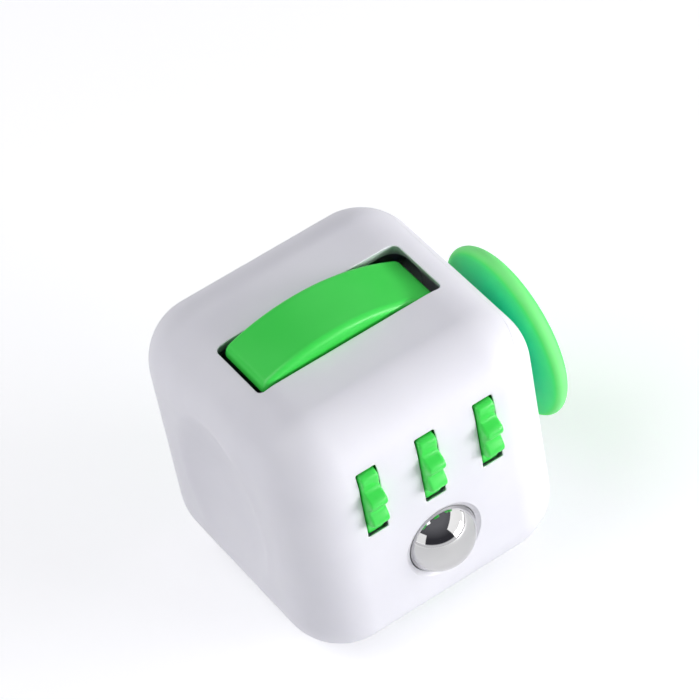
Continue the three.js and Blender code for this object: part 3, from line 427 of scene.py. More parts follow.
def face_area(shape, face, openings, outer=(skin, skin_normal), inner=(inner_skin, inner_normal), fill=None):
    """One face of a shell: outer skin, openings, inner skin and the walls at the seam. Each skin is a height
    and a normal, and an opening is its loop, the loop's outward normals and its stations."""
    height, normal = outer
    shell = FRONT_SHELL if face in FRONT_SHELL else REAR_SHELL
    seams = [name not in shell for name in NEXT_TO[face]]
    move, turn = to_face(face)

    def reach(gap):
        return [1 - 2 * gap / CORNER if seam else 1.0 for seam in seams]

    outer_loops, inner_loops = [], []
    for loop, out, stations in openings:
        places, normals = [], []
        for offset, base, depth in stations:
            at = loop + offset * out
            if base == "skin":
                w = height(at[:, 0], at[:, 1]) - depth
            elif base == "inner":
                w = inner[0](at[:, 0], at[:, 1]) - depth
            else:
                w = np.full(len(at), -depth)
            places.append(np.column_stack([at, w]))
        outer_loops.append(places[0][:, :2])
        inner_loops.append(places[-1][:, :2])
        section = [(offset, float(np.mean(p[:, 2]))) for (offset, *_), p in zip(stations, places)]
        ends = []
        for k, pair in enumerate(profile_ends(section)):
            both = [np.column_stack([n[0] * out, np.full(len(out), n[1])]) for n in pair]
            if k == 0:
                both[0] = normal(places[0][:, 0], places[0][:, 1])
            ends.append([turn(n) for n in both])
        shape.loft([move(p) for p in places], ends)

    rims = [
        border(CORNER, reach(SEAM + SEAM_ROUND * 0.7)),
        border(CORNER - SEAM_ROUND, reach(SEAM + SEAM_ROUND * 0.25)),
        border(CORNER - SEAM_ROUND, reach(SEAM)),
        border(CORNER - WALL, reach(SEAM)),
    ]
    filling = grid(lines(CORNER, 10, 14), lines(CORNER, 10, 14), CORNER)
    if fill is not None:
        filling = fill(filling)
    filling = clear_of(filling, outer_loops, 0.3)
    sheet(shape, outline_of(rims[0]), outer_loops, filling, height, normal, move, turn)
    coarse = lines(CORNER - WALL, 5, 10)
    hidden = clear_of(grid(coarse, coarse, CORNER - WALL), inner_loops, 0.3)
    sheet(shape, outline_of(rims[-1]), inner_loops, hidden, *inner, move, turn, flip=True)

    for i, seam in enumerate(seams):
        if not seam:
            continue
        rings = [move(rim[i]) for rim in rims]
        ends = []
        for a, b in zip(rings, rings[1:]):
            along, down = np.gradient(a, axis=0), b - a
            n = unit(np.cross(down, along))
            ends.append([n, n])
        shape.loft(rings, ends, closed=False, flip=True)


def bosses(shape, face, radius=1.7, pilot=0.7, depth=2.4, chamfer=0.15, bite=0.25):
    """The screw bosses inside a face, with their pilot holes. bite: how far they run into the wall."""
    places, height, _ = BOSSES[face]
    low, root = -WALL - height, bite - WALL
    top = min(low + depth, -WALL + 0.1)
    profile = [(0, top), (pilot, top), (pilot, low), (radius - chamfer, low), (radius, low + chamfer)]
    profile += [(radius, root), (0, root)]
    for place in places:
        turned(shape, profile, 24, *to_face(face), place)


def front_shell():
    shape = Shape()
    opening = rounded_rectangle(*ROCKER_OPENING)
    face_area(shape, "top", [(*opening, [*rounded_lip(ROCKER_LIP, 3), (ROCKER_UNDERCUT, "inner", 0.0)])])

    slots = []
    for n in (-1, 0, 1):
        loop = rounded_rectangle(*WHEEL_SLOT, (n * WHEEL_PITCH, WHEEL_HEIGHT - SLOT_DROP), 0.5, 4)
        slots.append((*loop, [*rounded_lip(SLOT_LIP, 3), (SLOT_UNDERCUT, "inner", 0.0)]))
    mouth = circle(MOUTH_RADIUS, 96, (0, BALL_HEIGHT))
    # a shallow dished ring round the ball, its neck and a wider hollow behind
    stations = [
        *rounded_lip(0.15, 3, 0.43)[:-1],
        (0.41, "skin", 0.13),
        (0.06, "skin", 0.26),
        (0.0, "skin", 0.31),
        (0.01, "skin", 0.36),
        (0.12, "skin", 0.55),
        (0.3, "skin", 0.65),
        (0.3, "inner", 0.0),
    ]
    face_area(shape, "front", [*slots, (*mouth, stations)])

    def bowl_points(coarse):
        u, v = np.arange(-9.45, 9.46, 0.45), np.arange(-12.6, 12.61, 0.45)
        fine = grid(u, v, CORNER)
        return np.vstack([fine, coarse[(np.abs(coarse[:, 0]) > 9.7) | (np.abs(coarse[:, 1]) > 12.8)]])

    def under(u, v):
        return dished(u, v, WALL, 0.3)

    face_area(shape, "left", [], (dished, slope_normal(dished)), (under, slope_normal(under)), bowl_points)
    bosses(shape, "top")
    bosses(shape, "front")
    return shape.object("front_shell_skin")


def rear_shell():
    shape = Shape()
    hole = circle(GLIDE_HOLE, 96)
    face_area(shape, "right", [(*hole, through())])
    holes = [(*circle(BUTTON_RADIUS + BUTTON_GAP, 64, place), through()) for place in BUTTON_PLACES]
    face_area(shape, "behind", holes)
    recess = circle(DIAL_RECESS, 128)
    hub, pad = 2.5 - DIAL_RECESS, 10.6 - DIAL_RECESS
    stations = [
        *rounded_lip(0.2),
        (0.0, "plane", 1.05),
        (-0.15, "plane", 1.2),
        (hub + 0.15, "plane", 1.2),
        (hub, "plane", 1.35),
        (hub, "plane", 3.0),
        (pad, "plane", 3.0),
        (pad, "inner", 0.0),
    ]
    face_area(shape, "bottom", [(*recess, stations)])
    bosses(shape, "right")
    bosses(shape, "behind")
    return shape.object("rear_shell_skin")


# ---------------------------------------------------------------- moving pieces


def tilted(points):
    """From the rocker's own frame, level about its pivot, to its place."""
    c, s = math.cos(ROCKER_TILT), math.sin(ROCKER_TILT)
    points = np.asarray(points, float)
    x, y, z = points[..., 0], points[..., 1], points[..., 2]
    return np.stack([c * x + s * z, y, -s * x + c * z], -1)


def bevelled(made, width, segments, angle):
    """Bevels a piece's sharp edges and weights its normals, applied to its mesh."""
    edge = made.modifiers.new("edge", "BEVEL")
    edge.width = width * MM
    edge.segments = segments
    edge.limit_method = "ANGLE"
    edge.angle_limit = math.radians(angle)
    edge.use_clamp_overlap = True
    soft = made.modifiers.new("soft", "WEIGHTED_NORMAL")
    soft.keep_sharp = True
    apply_modifiers(made)


def apply_modifiers(made):
    """Turns what an object's modifiers give into its own plain mesh."""
    depsgraph = bpy.context.evaluated_depsgraph_get()
    mesh = bpy.data.meshes.new_from_object(made.evaluated_get(depsgraph), depsgraph=depsgraph)
    made.modifiers.clear()
    old, made.data = made.data, mesh
    mesh.name = made.name
    bpy.data.meshes.remove(old)


def rocker():
    """A crowned paddle with rounded rims, and the hub and stem below it, laid out level from the pivot."""
    end, half = 11.05, 3.95  # half the paddle's length and width
    low, crown = 1.385, 5.54  # its underside and its highest point
    radius, rim = 25.0, 1.3
    hub_radius = 2.3
    middle = crown - radius
    rim_height = middle + math.sqrt((radius - rim) ** 2 - (end - rim) ** 2)
    turn = math.degrees(math.atan2(rim_height - middle, end - rim))
    right = arc((end - rim, rim_height), rim, 0, turn, 8)
    top = arc((0, middle), radius, turn, 180 - turn, 48)[1:-1]
    left = arc((rim - end, rim_height), rim, 180 - turn, 180, 8)
    profile = [(end, low), *right, *top, *left, (-end, low)]
    bm = bmesh.new()
    near = [bm.verts.new((x * MM, -half * MM, z * MM)) for x, z in profile]
    far = [bm.verts.new((x * MM, half * MM, z * MM)) for x, z in profile]
    bm.faces.new(near)
    bm.faces.new(far[::-1])
    count = len(profile)
    for i in range(count):
        j = (i + 1) % count
        bm.faces.new((near[j], near[i], far[i], far[j]))
    bmesh.ops.recalc_face_normals(bm, faces=bm.faces)
    mesh = mesh_of(bm, "rocker_paddle")
    mesh.shade_smooth()
    made = new_object("rocker_paddle", mesh)
    bevelled(made, 0.75, segments=6, angle=40)

    bm = bmesh.new()
    bm.from_mesh(made.data)
    web = (hub_radius, half, 0.0, 1.5)  # half length, half width, bottom and top
    stem = (1.7, 1.7, -4.4, 0.2)
    for half_x, half_y, bottom, top in (web, stem):
        for v in bmesh.ops.create_cube(bm, size=2 * MM)["verts"]:
            z = top if v.co.z > 0 else bottom
            v.co = (math.copysign(half_x * MM, v.co.x), math.copysign(half_y * MM, v.co.y), z * MM)
    bmesh.ops.create_cone(
        bm, cap_ends=True, segments=32, radius1=hub_radius * MM, radius2=hub_radius * MM, depth=2 * half * MM,
        matrix=Matrix.Rotation(math.pi / 2, 4, "X"),
    )
    for v in bm.verts:
        v.co = Vector(tilted(np.array(v.co))) + Vector(ROCKER_PIVOT) * MM
    bm.to_mesh(made.data)
    bm.free()
    return made


def ball():
    """A cube of squares blown up to a sphere, so that its facets are even."""
    bm = bmesh.new()
    bmesh.ops.create_cube(bm, size=2)
    bmesh.ops.subdivide_edges(bm, edges=bm.edges[:], cuts=31, use_grid_fill=True)
    for v in bm.verts:
        p = Vector([math.tan(c * math.pi / 4) for c in v.co]).normalized()
        v.co = (p * BALL_RADIUS + Vector(BALL_CENTRE)) * MM
    mesh = mesh_of(bm, "steel_ball")
    mesh.shade_smooth()
    return new_object("steel_ball", mesh)


def glide_cap():
    """A round pad with a rolled rim and a shallow bowl, on its neck and square block."""
    profile = [(0, -2.25), (2.56, -2.25), (2.56, -1.95), (3.2, -1.95), (3.2, 1.7)]  # the neck
    profile += arc((4.7, 1.7), 1.5, 180, 90, 6)[1:]  # its flare
    profile += [(9.35, 3.2)]  # the pad's underside
    profile += arc((9.4, 4.1), (1.0, 0.9), -90, 0, 8)[1:]  # the lip
    profile += arc((8.9, 4.1), (1.5, 1.2), 0, 90, 10)[1:]
    profile += [(8.2, 5.29), (7.6, 5.23)]
    profile += [(7.2 * math.cos(a), 5.2 - 0.7 * math.sin(a) ** 2) for a in np.radians(np.linspace(8, 88, 14))]
    profile += [(0, 4.5)]  # the bowl
    shape = Shape()
    turned(shape, profile, 128, *to_face("right"))
    made = shape.object("glide_pad_cap")

    block_half, block_near, block_far = 2.8, 1.96, 3.02  # its near and far sides, inwards from the face
    bm = bmesh.new()
    bm.from_mesh(made.data)
    for v in bmesh.ops.create_cube(bm, size=2 * MM)["verts"]:
        x = HALF - (block_near if v.co.x > 0 else block_far)
        z = CENTRE[2] + math.copysign(block_half, v.co.z)
        v.co = (x * MM, math.copysign(block_half * MM, v.co.y), z * MM)
    bm.to_mesh(made.data)
    bm.free()
    return made


def button(i):
    """A button with its post, its flange behind the wall and a softly crowned top."""
    post = -3.8 if i in RUBBER_BUTTONS else -4.1
    crown, round_off = 1.6, 0.7
    flange = [(3.3, -2.8), (3.4, -2.7), (3.4, -2.05), (3.3, -1.95)]
    profile = [(0, post), (1.1, post), (1.1, -2.8), *flange, (BUTTON_RADIUS, -1.95), (BUTTON_RADIUS, 0.75)]
    profile += arc((BUTTON_RADIUS - round_off, 0.75), (round_off, 0.75), 0, 78, 8)[1:]
    edge, height = profile[-1]
    profile += [(edge * s, crown - (crown - height) * s * s) for s in (0.85, 0.65, 0.45, 0.25, 0.1)]
    profile += [(0, crown)]
    shape = Shape()
    turned(shape, profile, 64, *to_face("behind"), BUTTON_PLACES[i])
    return shape.object(f"click_button_{i + 1}")


def dial():
    """A disc with a rounded rim and a fingertip dimple off its middle."""
    proud, rim, back, hub = 1.3, 0.6, -0.9, (2.4, -3.3)
    dimple, across, deep = np.array([5.7, 0.0]), 2.6, 0.9
    shape = Shape()
    move, turn = to_face("bottom")
    profile = [(0, hub[1]), hub, (hub[0], back), (DIAL_RADIUS - 0.15, back), (DIAL_RADIUS, back + 0.15)]
    profile += arc((DIAL_RADIUS - rim, proud - rim), rim, 0, 90, 6)
    turned(shape, profile, 128, move, turn)
    outline, _ = circle(DIAL_RADIUS - rim, 128)
    sphere = (across**2 + deep**2) / (2 * deep)

    def top(u, v):
        r = np.hypot(u - dimple[0], v - dimple[1])
        low = proud + sphere - deep - np.sqrt(np.maximum(sphere**2 - r**2, 0))
        soft = 0.3
        blend = np.maximum(soft - np.abs(low - proud), 0) / soft
        return np.where(r > across + 1.2, proud, np.minimum(low, proud) - blend**2 * soft / 4)

    rings = [circle(r, 48, dimple)[0] for r in np.arange(0.3, across + 0.75, 0.24)]
    filling = np.vstack([*rings, [dimple], *(circle(r, 40)[0] for r in (2.0, 4.0, 6.0, 7.6))])
    keep = np.hypot(*(filling[:, None] - outline[None]).transpose(2, 0, 1)).min(1) > 0.3
    sheet(shape, outline, [], filling[keep], top, slope_normal(top), move, turn)
    return shape.object("spin_dial_disc")


# ---------------------------------------------------------------- node trees


class Nodes:
    """Makes and links the nodes of a tree. A value is another node's socket or a plain value."""

    def __init__(self, tree):
        self.tree = tree

    def feed(self, socket, value):
        if isinstance(value, bpy.types.NodeSocket):
            self.tree.links.new(value, socket)
        else:
            socket.default_value = value

    def node(self, kind, settings=None, **inputs):
        made = self.tree.nodes.new(kind)
        for key, value in (settings or {}).items():
            setattr(made, key, value)
        for key, value in inputs.items():
            self.feed(made.inputs[key.replace("_", " ")], value)
        return made

    def math(self, operation, *values):
        made = self.node("ShaderNodeMath", {"operation": operation})
        for socket, value in zip(made.inputs, values):
            self.feed(socket, value)
        return made.outputs[0]

    def rescaled(self, value, first, last, low=0.0, high=1.0, steps="LINEAR"):
        """Takes a value's run from first to last to a run from low to high."""
        run = {"From_Min": first, "From_Max": last, "To_Min": low, "To_Max": high}
        return self.node("ShaderNodeMapRange", {"interpolation_type": steps}, Value=value, **run).outputs[0]

    def length(self, vector):
        return self.node("ShaderNodeVectorMath", {"operation": "LENGTH"}, Vector=vector).outputs["Value"]

    def parts(self, vector):
        return self.node("ShaderNodeSeparateXYZ", Vector=vector).outputs

    def mix(self, share, first, second):
        """A colour between two others, which are colours or sockets."""
        made = self.node("ShaderNodeMix", {"data_type": "RGBA"})
        for socket, value in ((0, share), (6, first), (7, second)):
            self.feed(made.inputs[socket], (*value, 1) if isinstance(value, tuple) else value)
        return made.outputs[2]


class Tree(Nodes):
    """A geometry node tree, with named inputs for its sizes."""

    def __init__(self, name, inputs):
        super().__init__(bpy.data.node_groups.new(name, "GeometryNodeTree"))
        self.sockets = {}
        for label, (kind, value) in inputs.items():
            socket = self.tree.interface.new_socket(label, in_out="INPUT", socket_type=f"NodeSocket{kind}")
            if value is not None:
                socket.default_value = value
            self.sockets[label] = socket.identifier
        self.tree.interface.new_socket("Geometry", in_out="OUTPUT", socket_type="NodeSocketGeometry")
        self.given = self.node("NodeGroupInput").outputs
        self.end = self.node("NodeGroupOutput")

    def finish(self, geometry, material):
        """Every tree ends in real faces with their material."""
        real = self.node("GeometryNodeRealizeInstances", Geometry=geometry)
        dressed = self.node("GeometryNodeSetMaterial", Geometry=real.outputs[0], Material=material)
        self.feed(self.end.inputs[0], dressed.outputs[0])


def grown(name, tree, values, base=()):
    """A plain mesh object made by a node tree from the given sizes."""
    mesh = bpy.data.meshes.new(name)
    mesh.from_pydata(base, [], [])
    made = new_object(name, mesh)
    modifier = made.modifiers.new("made", "NODES")
    modifier.node_group = tree.tree
    for label, value in values.items():
        modifier[tree.sockets[label]] = value
    apply_modifiers(made)
    bm = bmesh.new()
    bm.from_mesh(made.data)
    bmesh.ops.remove_doubles(bm, verts=bm.verts, dist=1e-6)
    bmesh.ops.recalc_face_normals(bm, faces=bm.faces)
    bm.to_mesh(made.data)
    bm.free()
    made.data.shade_smooth()
    return made


def wheel_tree(material):
    """A toothed ring and its hub round an axle along X: a ring of squares bent round the axle, whose radius
    rises and falls with the teeth."""
    sizes = ("Root", "Tooth Height", "Width", "Hub", "Hub Width", "Bore", "Phase")
    inputs = {name: ("Float", 0.0) for name in sizes}
    tree = Tree(
        "toothed_wheel",
        {**inputs, "Teeth": ("Float", 12.0), "Edge": ("Float", 0.2), "Centre": ("Vector", (0, 0, 0))},
    )
    given, calc = tree.given, tree.math

    def ring(root, rise, width, edge, around, across):
        count = {"Vertices_X": around, "Vertices_Y": across}
        squares = tree.node("GeometryNodeMeshGrid", Size_X=1.0, Size_Y=1.0, **count)
        place = tree.parts(tree.node("GeometryNodeInputPosition").outputs[0])
        turn = calc("MULTIPLY", calc("ADD", place[0], 0.5), 2 * math.pi)
        section = calc("MULTIPLY", calc("ADD", place[1], 0.5), 2 * math.pi)
        beat = calc("COSINE", calc("MULTIPLY", calc("SUBTRACT", turn, given["Phase"]), given["Teeth"]))
        tip = calc("ADD", root, calc("MULTIPLY", rise, tree.rescaled(beat, -1.0, 1.0)))
        up = calc("POWER", calc("MAXIMUM", calc("SINE", section), 0.0), edge)
        radius = calc("ADD", given["Bore"], calc("MULTIPLY", calc("SUBTRACT", tip, given["Bore"]), up))
        side = calc("COSINE", section)
        bulge = calc("MULTIPLY", calc("SIGN", side), calc("POWER", calc("ABSOLUTE", side), edge))
        x = calc("MULTIPLY", bulge, calc("MULTIPLY", width, 0.5))
        y = calc("MULTIPLY", calc("MULTIPLY", radius, calc("COSINE", turn)), -1.0)
        z = calc("MULTIPLY", radius, calc("SINE", turn))
        where = tree.node("ShaderNodeCombineXYZ", X=x, Y=y, Z=z)
        bent = tree.node("GeometryNodeSetPosition", Geometry=squares.outputs[0], Position=where.outputs[0])
        return tree.node("GeometryNodeMergeByDistance", Geometry=bent.outputs[0], Distance=1e-6).outputs[0]

    both = tree.node("GeometryNodeJoinGeometry")
    teeth = ring(given["Root"], given["Tooth Height"], given["Width"], given["Edge"], 289, 65)
    tree.feed(both.inputs[0], teeth)
    tree.feed(both.inputs[0], ring(given["Hub"], 0.0, given["Hub Width"], 0.1, 49, 33))
    placed = tree.node("GeometryNodeTransform", Geometry=both.outputs[0], Translation=given["Centre"])
    tree.finish(placed.outputs[0], material)
    return tree


def coil_tree(material):
    """A round wire wound into an open coil along its own Z."""
    inputs = {name: ("Float", 0.0) for name in ("Radius", "Wire", "Height", "Turns")}
    tree = Tree("coil_spring", {**inputs, "Place": ("Vector", (0, 0, 0)), "Turn": ("Vector", (0, 0, 0))})
    given = tree.given
    middle = tree.math("SUBTRACT", given["Radius"], given["Wire"])
    rise = tree.math("SUBTRACT", given["Height"], tree.math("MULTIPLY", given["Wire"], 2.0))
    path = tree.node(
        "GeometryNodeCurveSpiral",
        Resolution=36, Rotations=given["Turns"], Start_Radius=middle, End_Radius=middle, Height=rise,
    )
    wire = tree.node("GeometryNodeCurvePrimitiveCircle", Resolution=12, Radius=given["Wire"])
    body = tree.node(
        "GeometryNodeCurveToMesh",
        Curve=path.outputs[0], Profile_Curve=wire.outputs["Curve"], Fill_Caps=True,
    )
    placed = tree.node(
        "GeometryNodeTransform", Geometry=body.outputs[0], Translation=given["Place"], Rotation=given["Turn"]
    )
    tree.finish(placed.outputs[0], material)
    return tree


def screw_tree(material):
    """A set of equal screws, one at each point, all turned the same way."""
    inputs = {"Geometry": ("Geometry", None), "Screw": ("Object", None), "Turn": ("Vector", (0, 0, 0))}
    tree = Tree("screw_set", inputs)
    one = tree.node("GeometryNodeObjectInfo", Object=tree.given["Screw"])
    spots = tree.node("GeometryNodeMeshToPoints", Mesh=tree.given["Geometry"])
    placed = tree.node(
        "GeometryNodeInstanceOnPoints",
        Points=spots.outputs[0], Instance=one.outputs["Geometry"], Rotation=tree.given["Turn"],
    )
    tree.finish(placed.outputs[0], material)
    return tree


def screw_pattern():
    """A self-tapping screw along Z with its seat at the origin: pan head, cross recess and thread."""
    head, height, shank, length = 1.25, 0.95, 0.6, 3.3
    arm_half, arm_reach, recess_depth = 0.13, 0.72, 0.45
    pitch, thread_height, turns, steps_per_turn = 0.28, 0.1, 10, 4
    around = 48
    angles = np.arange(around) * 2 * math.pi / around

    def ring(r, z):
        return np.column_stack([r * np.cos(angles), r * np.sin(angles), z + np.zeros(around)])

    rings = []
    for share in np.linspace(0, 1, 12)[1:]:
        r = 0.95 * head * share
        x, y = r * np.cos(angles), r * np.sin(angles)
        in_cross = (np.minimum(np.abs(x), np.abs(y)) < arm_half) & (r < arm_reach)
        recess = np.where(in_cross, recess_depth * (1 - (r / 0.85) ** 4), 0)
        rings.append(ring(r, 0.16 * share**2 - height + recess))
    for r, z in ((head, -height * 0.62), (head, -0.05), (head - 0.05, 0.0), (shank, 0.0)):
        rings.append(ring(r, z))
    for share in np.linspace(0, 1, turns * steps_per_turn + 1):
        z = 0.1 + share * (length - 0.7)
        wave = np.cos(2 * math.pi * (z / pitch) - angles)
        rings.append(ring(shank - thread_height + thread_height * np.maximum(wave, -0.4), z))
    rings.append(ring(0.25, length - 0.25))
    points = [(0.0, 0.0, (recess_depth - height) * MM)]
    for loop in rings:
        points += [tuple(p * MM) for p in loop]
    points.append((0.0, 0.0, length * MM))
    faces = [(0, 1 + (i + 1) % around, 1 + i) for i in range(around)]
    for k in range(len(rings) - 1):
        a, b = 1 + k * around, 1 + (k + 1) * around
        faces += [(a + i, a + (i + 1) % around, b + (i + 1) % around, b + i) for i in range(around)]
    a, tip = 1 + (len(rings) - 1) * around, len(points) - 1
    faces += [(a + i, a + (i + 1) % around, tip) for i in range(around)]
    mesh = bpy.data.meshes.new("screw_pattern")
    mesh.from_pydata(points, [], faces)
    return new_object("screw_pattern", mesh)


# ---------------------------------------------------------------- finishes


class Finish(Nodes):
    """A material under construction."""

    def __init__(self, name, **values):
        self.material = bpy.data.materials.new(name)
        self.material.use_nodes = True
        super().__init__(self.material.node_tree)
        self.shader = self.tree.nodes["Principled BSDF"].inputs
        for key, value in values.items():
            self.shader[key.replace("_", " ")].default_value = value
        self.place = self.node("ShaderNodeTexCoord").outputs["Object"]

    def noise(self, scale, detail=2.0, roughness=0.5, stretch=None):
        place = self.place
        if stretch:
            place = self.node("ShaderNodeMapping", Vector=place, Scale=stretch).outputs[0]
        made = self.node("ShaderNodeTexNoise", Vector=place, Scale=scale, Detail=detail, Roughness=roughness)
        return made.outputs["Fac"]

    def spread(self, value, low, high):
        """Stretches the middle of a noise's range over low to high."""
        return self.rescaled(value, 0.3, 0.7, low, high)

    def fade(self, value, span, first, last):
        """A colour that turns from first to last as a value grows over a span in millimetres."""
        share = self.rescaled(value, span[0] * MM, span[1] * MM, steps="SMOOTHSTEP")
        return self.mix(share, first, last)

    def bump(self, *layers):
        """layers: (height, strength, depth in millimetres), the coarsest first."""
        below = None
        for height, strength, depth in layers:
            made = self.node("ShaderNodeBump", Height=height, Strength=strength, Distance=depth * MM)
            if below:
                self.feed(made.inputs["Normal"], below)
            below = made.outputs[0]
        self.feed(self.shader["Normal"], below)


def moulded(name, colour, tint, rough, grain, toned=None, **values):
    """Moulded plastic: a little cloudy, with a fine even grain and a faint flow pattern. toned, if given, is
    a function that varies its colour over the piece."""
    made = Finish(name, **values)
    cloudy = made.mix(made.spread(made.noise(90, 3.0), 0.0, 1.0), colour, tint)
    made.feed(made.shader["Base Color"], toned(made, cloudy) if toned else cloudy)
    made.feed(made.shader["Roughness"], made.spread(made.noise(420, 3.0), *rough))
    made.bump((made.noise(260, 2.0), 0.12, 0.02), (made.noise(5200, 2.0), grain, 0.006))
    return made.material


def pad_painted_shade_and_highlight(made, plain):
    """The pad's colour with painted light: a painted teal shade towards the casing and its axis, and a
    painted pale highlight at its thin lip.
    The painted shade's span runs along X plus a share of the radius, and the painted highlight's runs
    outwards from the axis."""
    # inside is the painted teal shade's colour, lip is the painted pale highlight's colour
    inside, painted_shade_span, share = (0.035, 0.86, 0.47), (20.2, 21.2), 0.117
    lip, painted_highlight_span = (0.24, 0.90, 0.27), (9.85, 10.4)
    x, y, z = made.parts(made.place)
    off_axis = made.node("ShaderNodeCombineXYZ", Y=y, Z=made.math("SUBTRACT", z, CENTRE[2] * MM))
    radius = made.length(off_axis.outputs[0])
    # painted teal shade over the plain colour, then a painted pale highlight at the lip
    painted_teal_shade = made.fade(made.math("MULTIPLY_ADD", radius, share, x), painted_shade_span, inside, plain)
    return made.fade(radius, painted_highlight_span, painted_teal_shade, lip)


def metal(name, colour, tint, rough, scratch, grain=(1, 1, 1)):
    """Bare metal with fine drawn or rolled marks."""
    made = Finish(name, Metallic=1.0)
    marks = made.noise(3000, 3.0, 0.6, grain)
    made.feed(made.shader["Base Color"], made.mix(made.spread(made.noise(240), 0.0, 1.0), colour, tint))
    made.feed(made.shader["Roughness"], made.spread(marks, *rough))
    made.bump((marks, scratch, 0.003))
    return made.material


white_plastic = moulded(
    "white_plastic", (0.84, 0.835, 0.885), (0.80, 0.795, 0.85), (0.36, 0.46), 0.3,
    Subsurface_Weight=0.15, Subsurface_Radius=(0.9, 0.9, 1.0), Subsurface_Scale=0.001, IOR=1.5,
)
green_plastic = moulded(
    "green_plastic", (0.045, 0.73, 0.08), (0.06, 0.78, 0.10), (0.3, 0.38), 0.2,
    Subsurface_Weight=0.12, Subsurface_Radius=(0.3, 1.0, 0.4), Subsurface_Scale=0.0008, IOR=1.5,
)
# the pad's colour carries a painted teal shade towards the casing and a painted pale highlight at its lip
pad_plastic = moulded(
    "pad_plastic", (0.085, 0.82, 0.14), (0.105, 0.86, 0.17), (0.45, 0.55), 0.25, pad_painted_shade_and_highlight,
    Subsurface_Weight=0.4, Subsurface_Radius=(0.4, 1.0, 0.7), Subsurface_Scale=0.002, IOR=1.5,
    Specular_IOR_Level=0.12,
)
frame_plastic = moulded("frame_plastic", (0.60, 0.60, 0.63), (0.52, 0.52, 0.56), (0.45, 0.6), 0.4, IOR=1.5)
clear_rubber = moulded(
    "clear_rubber", (0.62, 0.64, 0.67), (0.55, 0.57, 0.61), (0.5, 0.65), 0.4,
    Subsurface_Weight=0.3, Subsurface_Radius=(1.0, 1.0, 1.0), Subsurface_Scale=0.001, IOR=1.42,
)
polished_steel = metal("polished_steel", (0.57, 0.565, 0.56), (0.54, 0.54, 0.54), (0.04, 0.07), 0.01)
spring_steel = metal("spring_steel", (0.55, 0.56, 0.58), (0.48, 0.49, 0.52), (0.22, 0.38), 0.15, (1, 1, 6))
screw_steel = metal("screw_steel", (0.50, 0.50, 0.52), (0.40, 0.40, 0.43), (0.25, 0.42), 0.2)

# ---------------------------------------------------------------- the cube


def dress(made, material, body, slot, *nodes):
    """Gives a piece its finish and its place in the frame."""
    if made.data.materials:
        made.data.materials[0] = material
    else:
        made.data.materials.append(material)
    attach(made, body)
    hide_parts(*nodes)


dress(front_shell(), white_plastic, "casing", "white_shell", "front_shell")
dress(rear_shell(), white_plastic, "casing", "white_shell", "rear_shell")
dress(rocker(), green_plastic, "rocker_body", "rocker_green", "rocker")
dress(ball(), polished_steel, "rolling_ball", "ball_chrome", "ball")
dress(glide_cap(), pad_plastic, "glide_pad", "pad_green", "glide_cap")
dress(dial(), green_plastic, "dial_body", "dial_green", "spin_dial")
for i in range(len(BUTTON_PLACES)):
    dress(button(i), green_plastic, f"button_body_{i + 1}", "button_green", f"button_{i + 1}")

wheels = wheel_tree(green_plastic)
for n, side in enumerate(("left", "middle", "right")):
    sizes = {
        "Root": WHEEL_ROOT * MM,
        "Tooth Height": TOOTH_HEIGHT * MM,
        "Width": 2.3 * MM,
        "Hub": 2.0 * MM,
        "Hub Width": 5.6 * MM,
        "Bore": 0.97 * MM,
        "Phase": TOOTH_TURN,
        "Centre": ((n - 1) * WHEEL_PITCH * MM, WHEEL_AXIS[0] * MM, WHEEL_AXIS[1] * MM),
    }
    made = grown(f"toothed_wheel_{side}", wheels, sizes)
    dress(made, green_plastic, f"{side}_wheel", "wheel_green", f"gear_{side}")

coils = coil_tree(spring_steel)
rocker_coil = {"Radius": 0.8 * MM, "Wire": 0.14 * MM, "Height": 2.0 * MM, "Turns": 4.0}
rocker_coil["Place"] = (Vector(tilted(np.array([0, 0, -3.4]))) + Vector(ROCKER_PIVOT)) * MM
rocker_coil["Turn"] = (0, ROCKER_TILT, 0)
made = grown("rocker_coil", coils, rocker_coil)
dress(made, spring_steel, "rocker_body", "spring_steel", "rocker_spring")
ball_coil = {"Radius": 2.5 * MM, "Wire": 0.25 * MM, "Height": 2.26 * MM, "Turns": 3.0}
ball_coil["Place"] = (0, (-9.39 + 0.25) * MM, BALL_CENTRE[2] * MM)
ball_coil["Turn"] = (-math.pi / 2, 0, 0)
made = grown("ball_coil", coils, ball_coil)
dress(made, spring_steel, "casing", "spring_steel", "ball_spring")

screws, pattern = screw_tree(screw_steel), screw_pattern()


def put_screws(name, body, face, seat, places, nodes):
    """Screws into the inside of a face, with their heads' seats at a depth."""
    points = on_face(face, [(u, v, seat) for u, v in places]) * MM
    turn = Vector(FACES[face][2]).to_track_quat("Z", "Y").to_euler()
    made = grown(name, screws, {"Screw": pattern, "Turn": tuple(turn)}, [tuple(p) for p in points])
    dress(made, screw_steel, body, "screw_steel", *nodes)


for kind, face in (("rocker", "top"), ("roll", "front"), ("glide", "right"), ("click", "behind")):
    places, _, seat = BOSSES[face]
    nodes = [f"{kind}_screw_{i + 1}" for i in range(len(places))]
    put_screws(f"{kind}_screws", "casing", face, seat, places, nodes)
put_screws("pad_screw", "glide_pad", "right", -3.97, [(0, 0)], ["glide_cap_screw"])
put_screws("dial_screw", "dial_body", "bottom", -3.84, [(0, 0)], ["spin_screw"])
bpy.data.objects.remove(pattern)

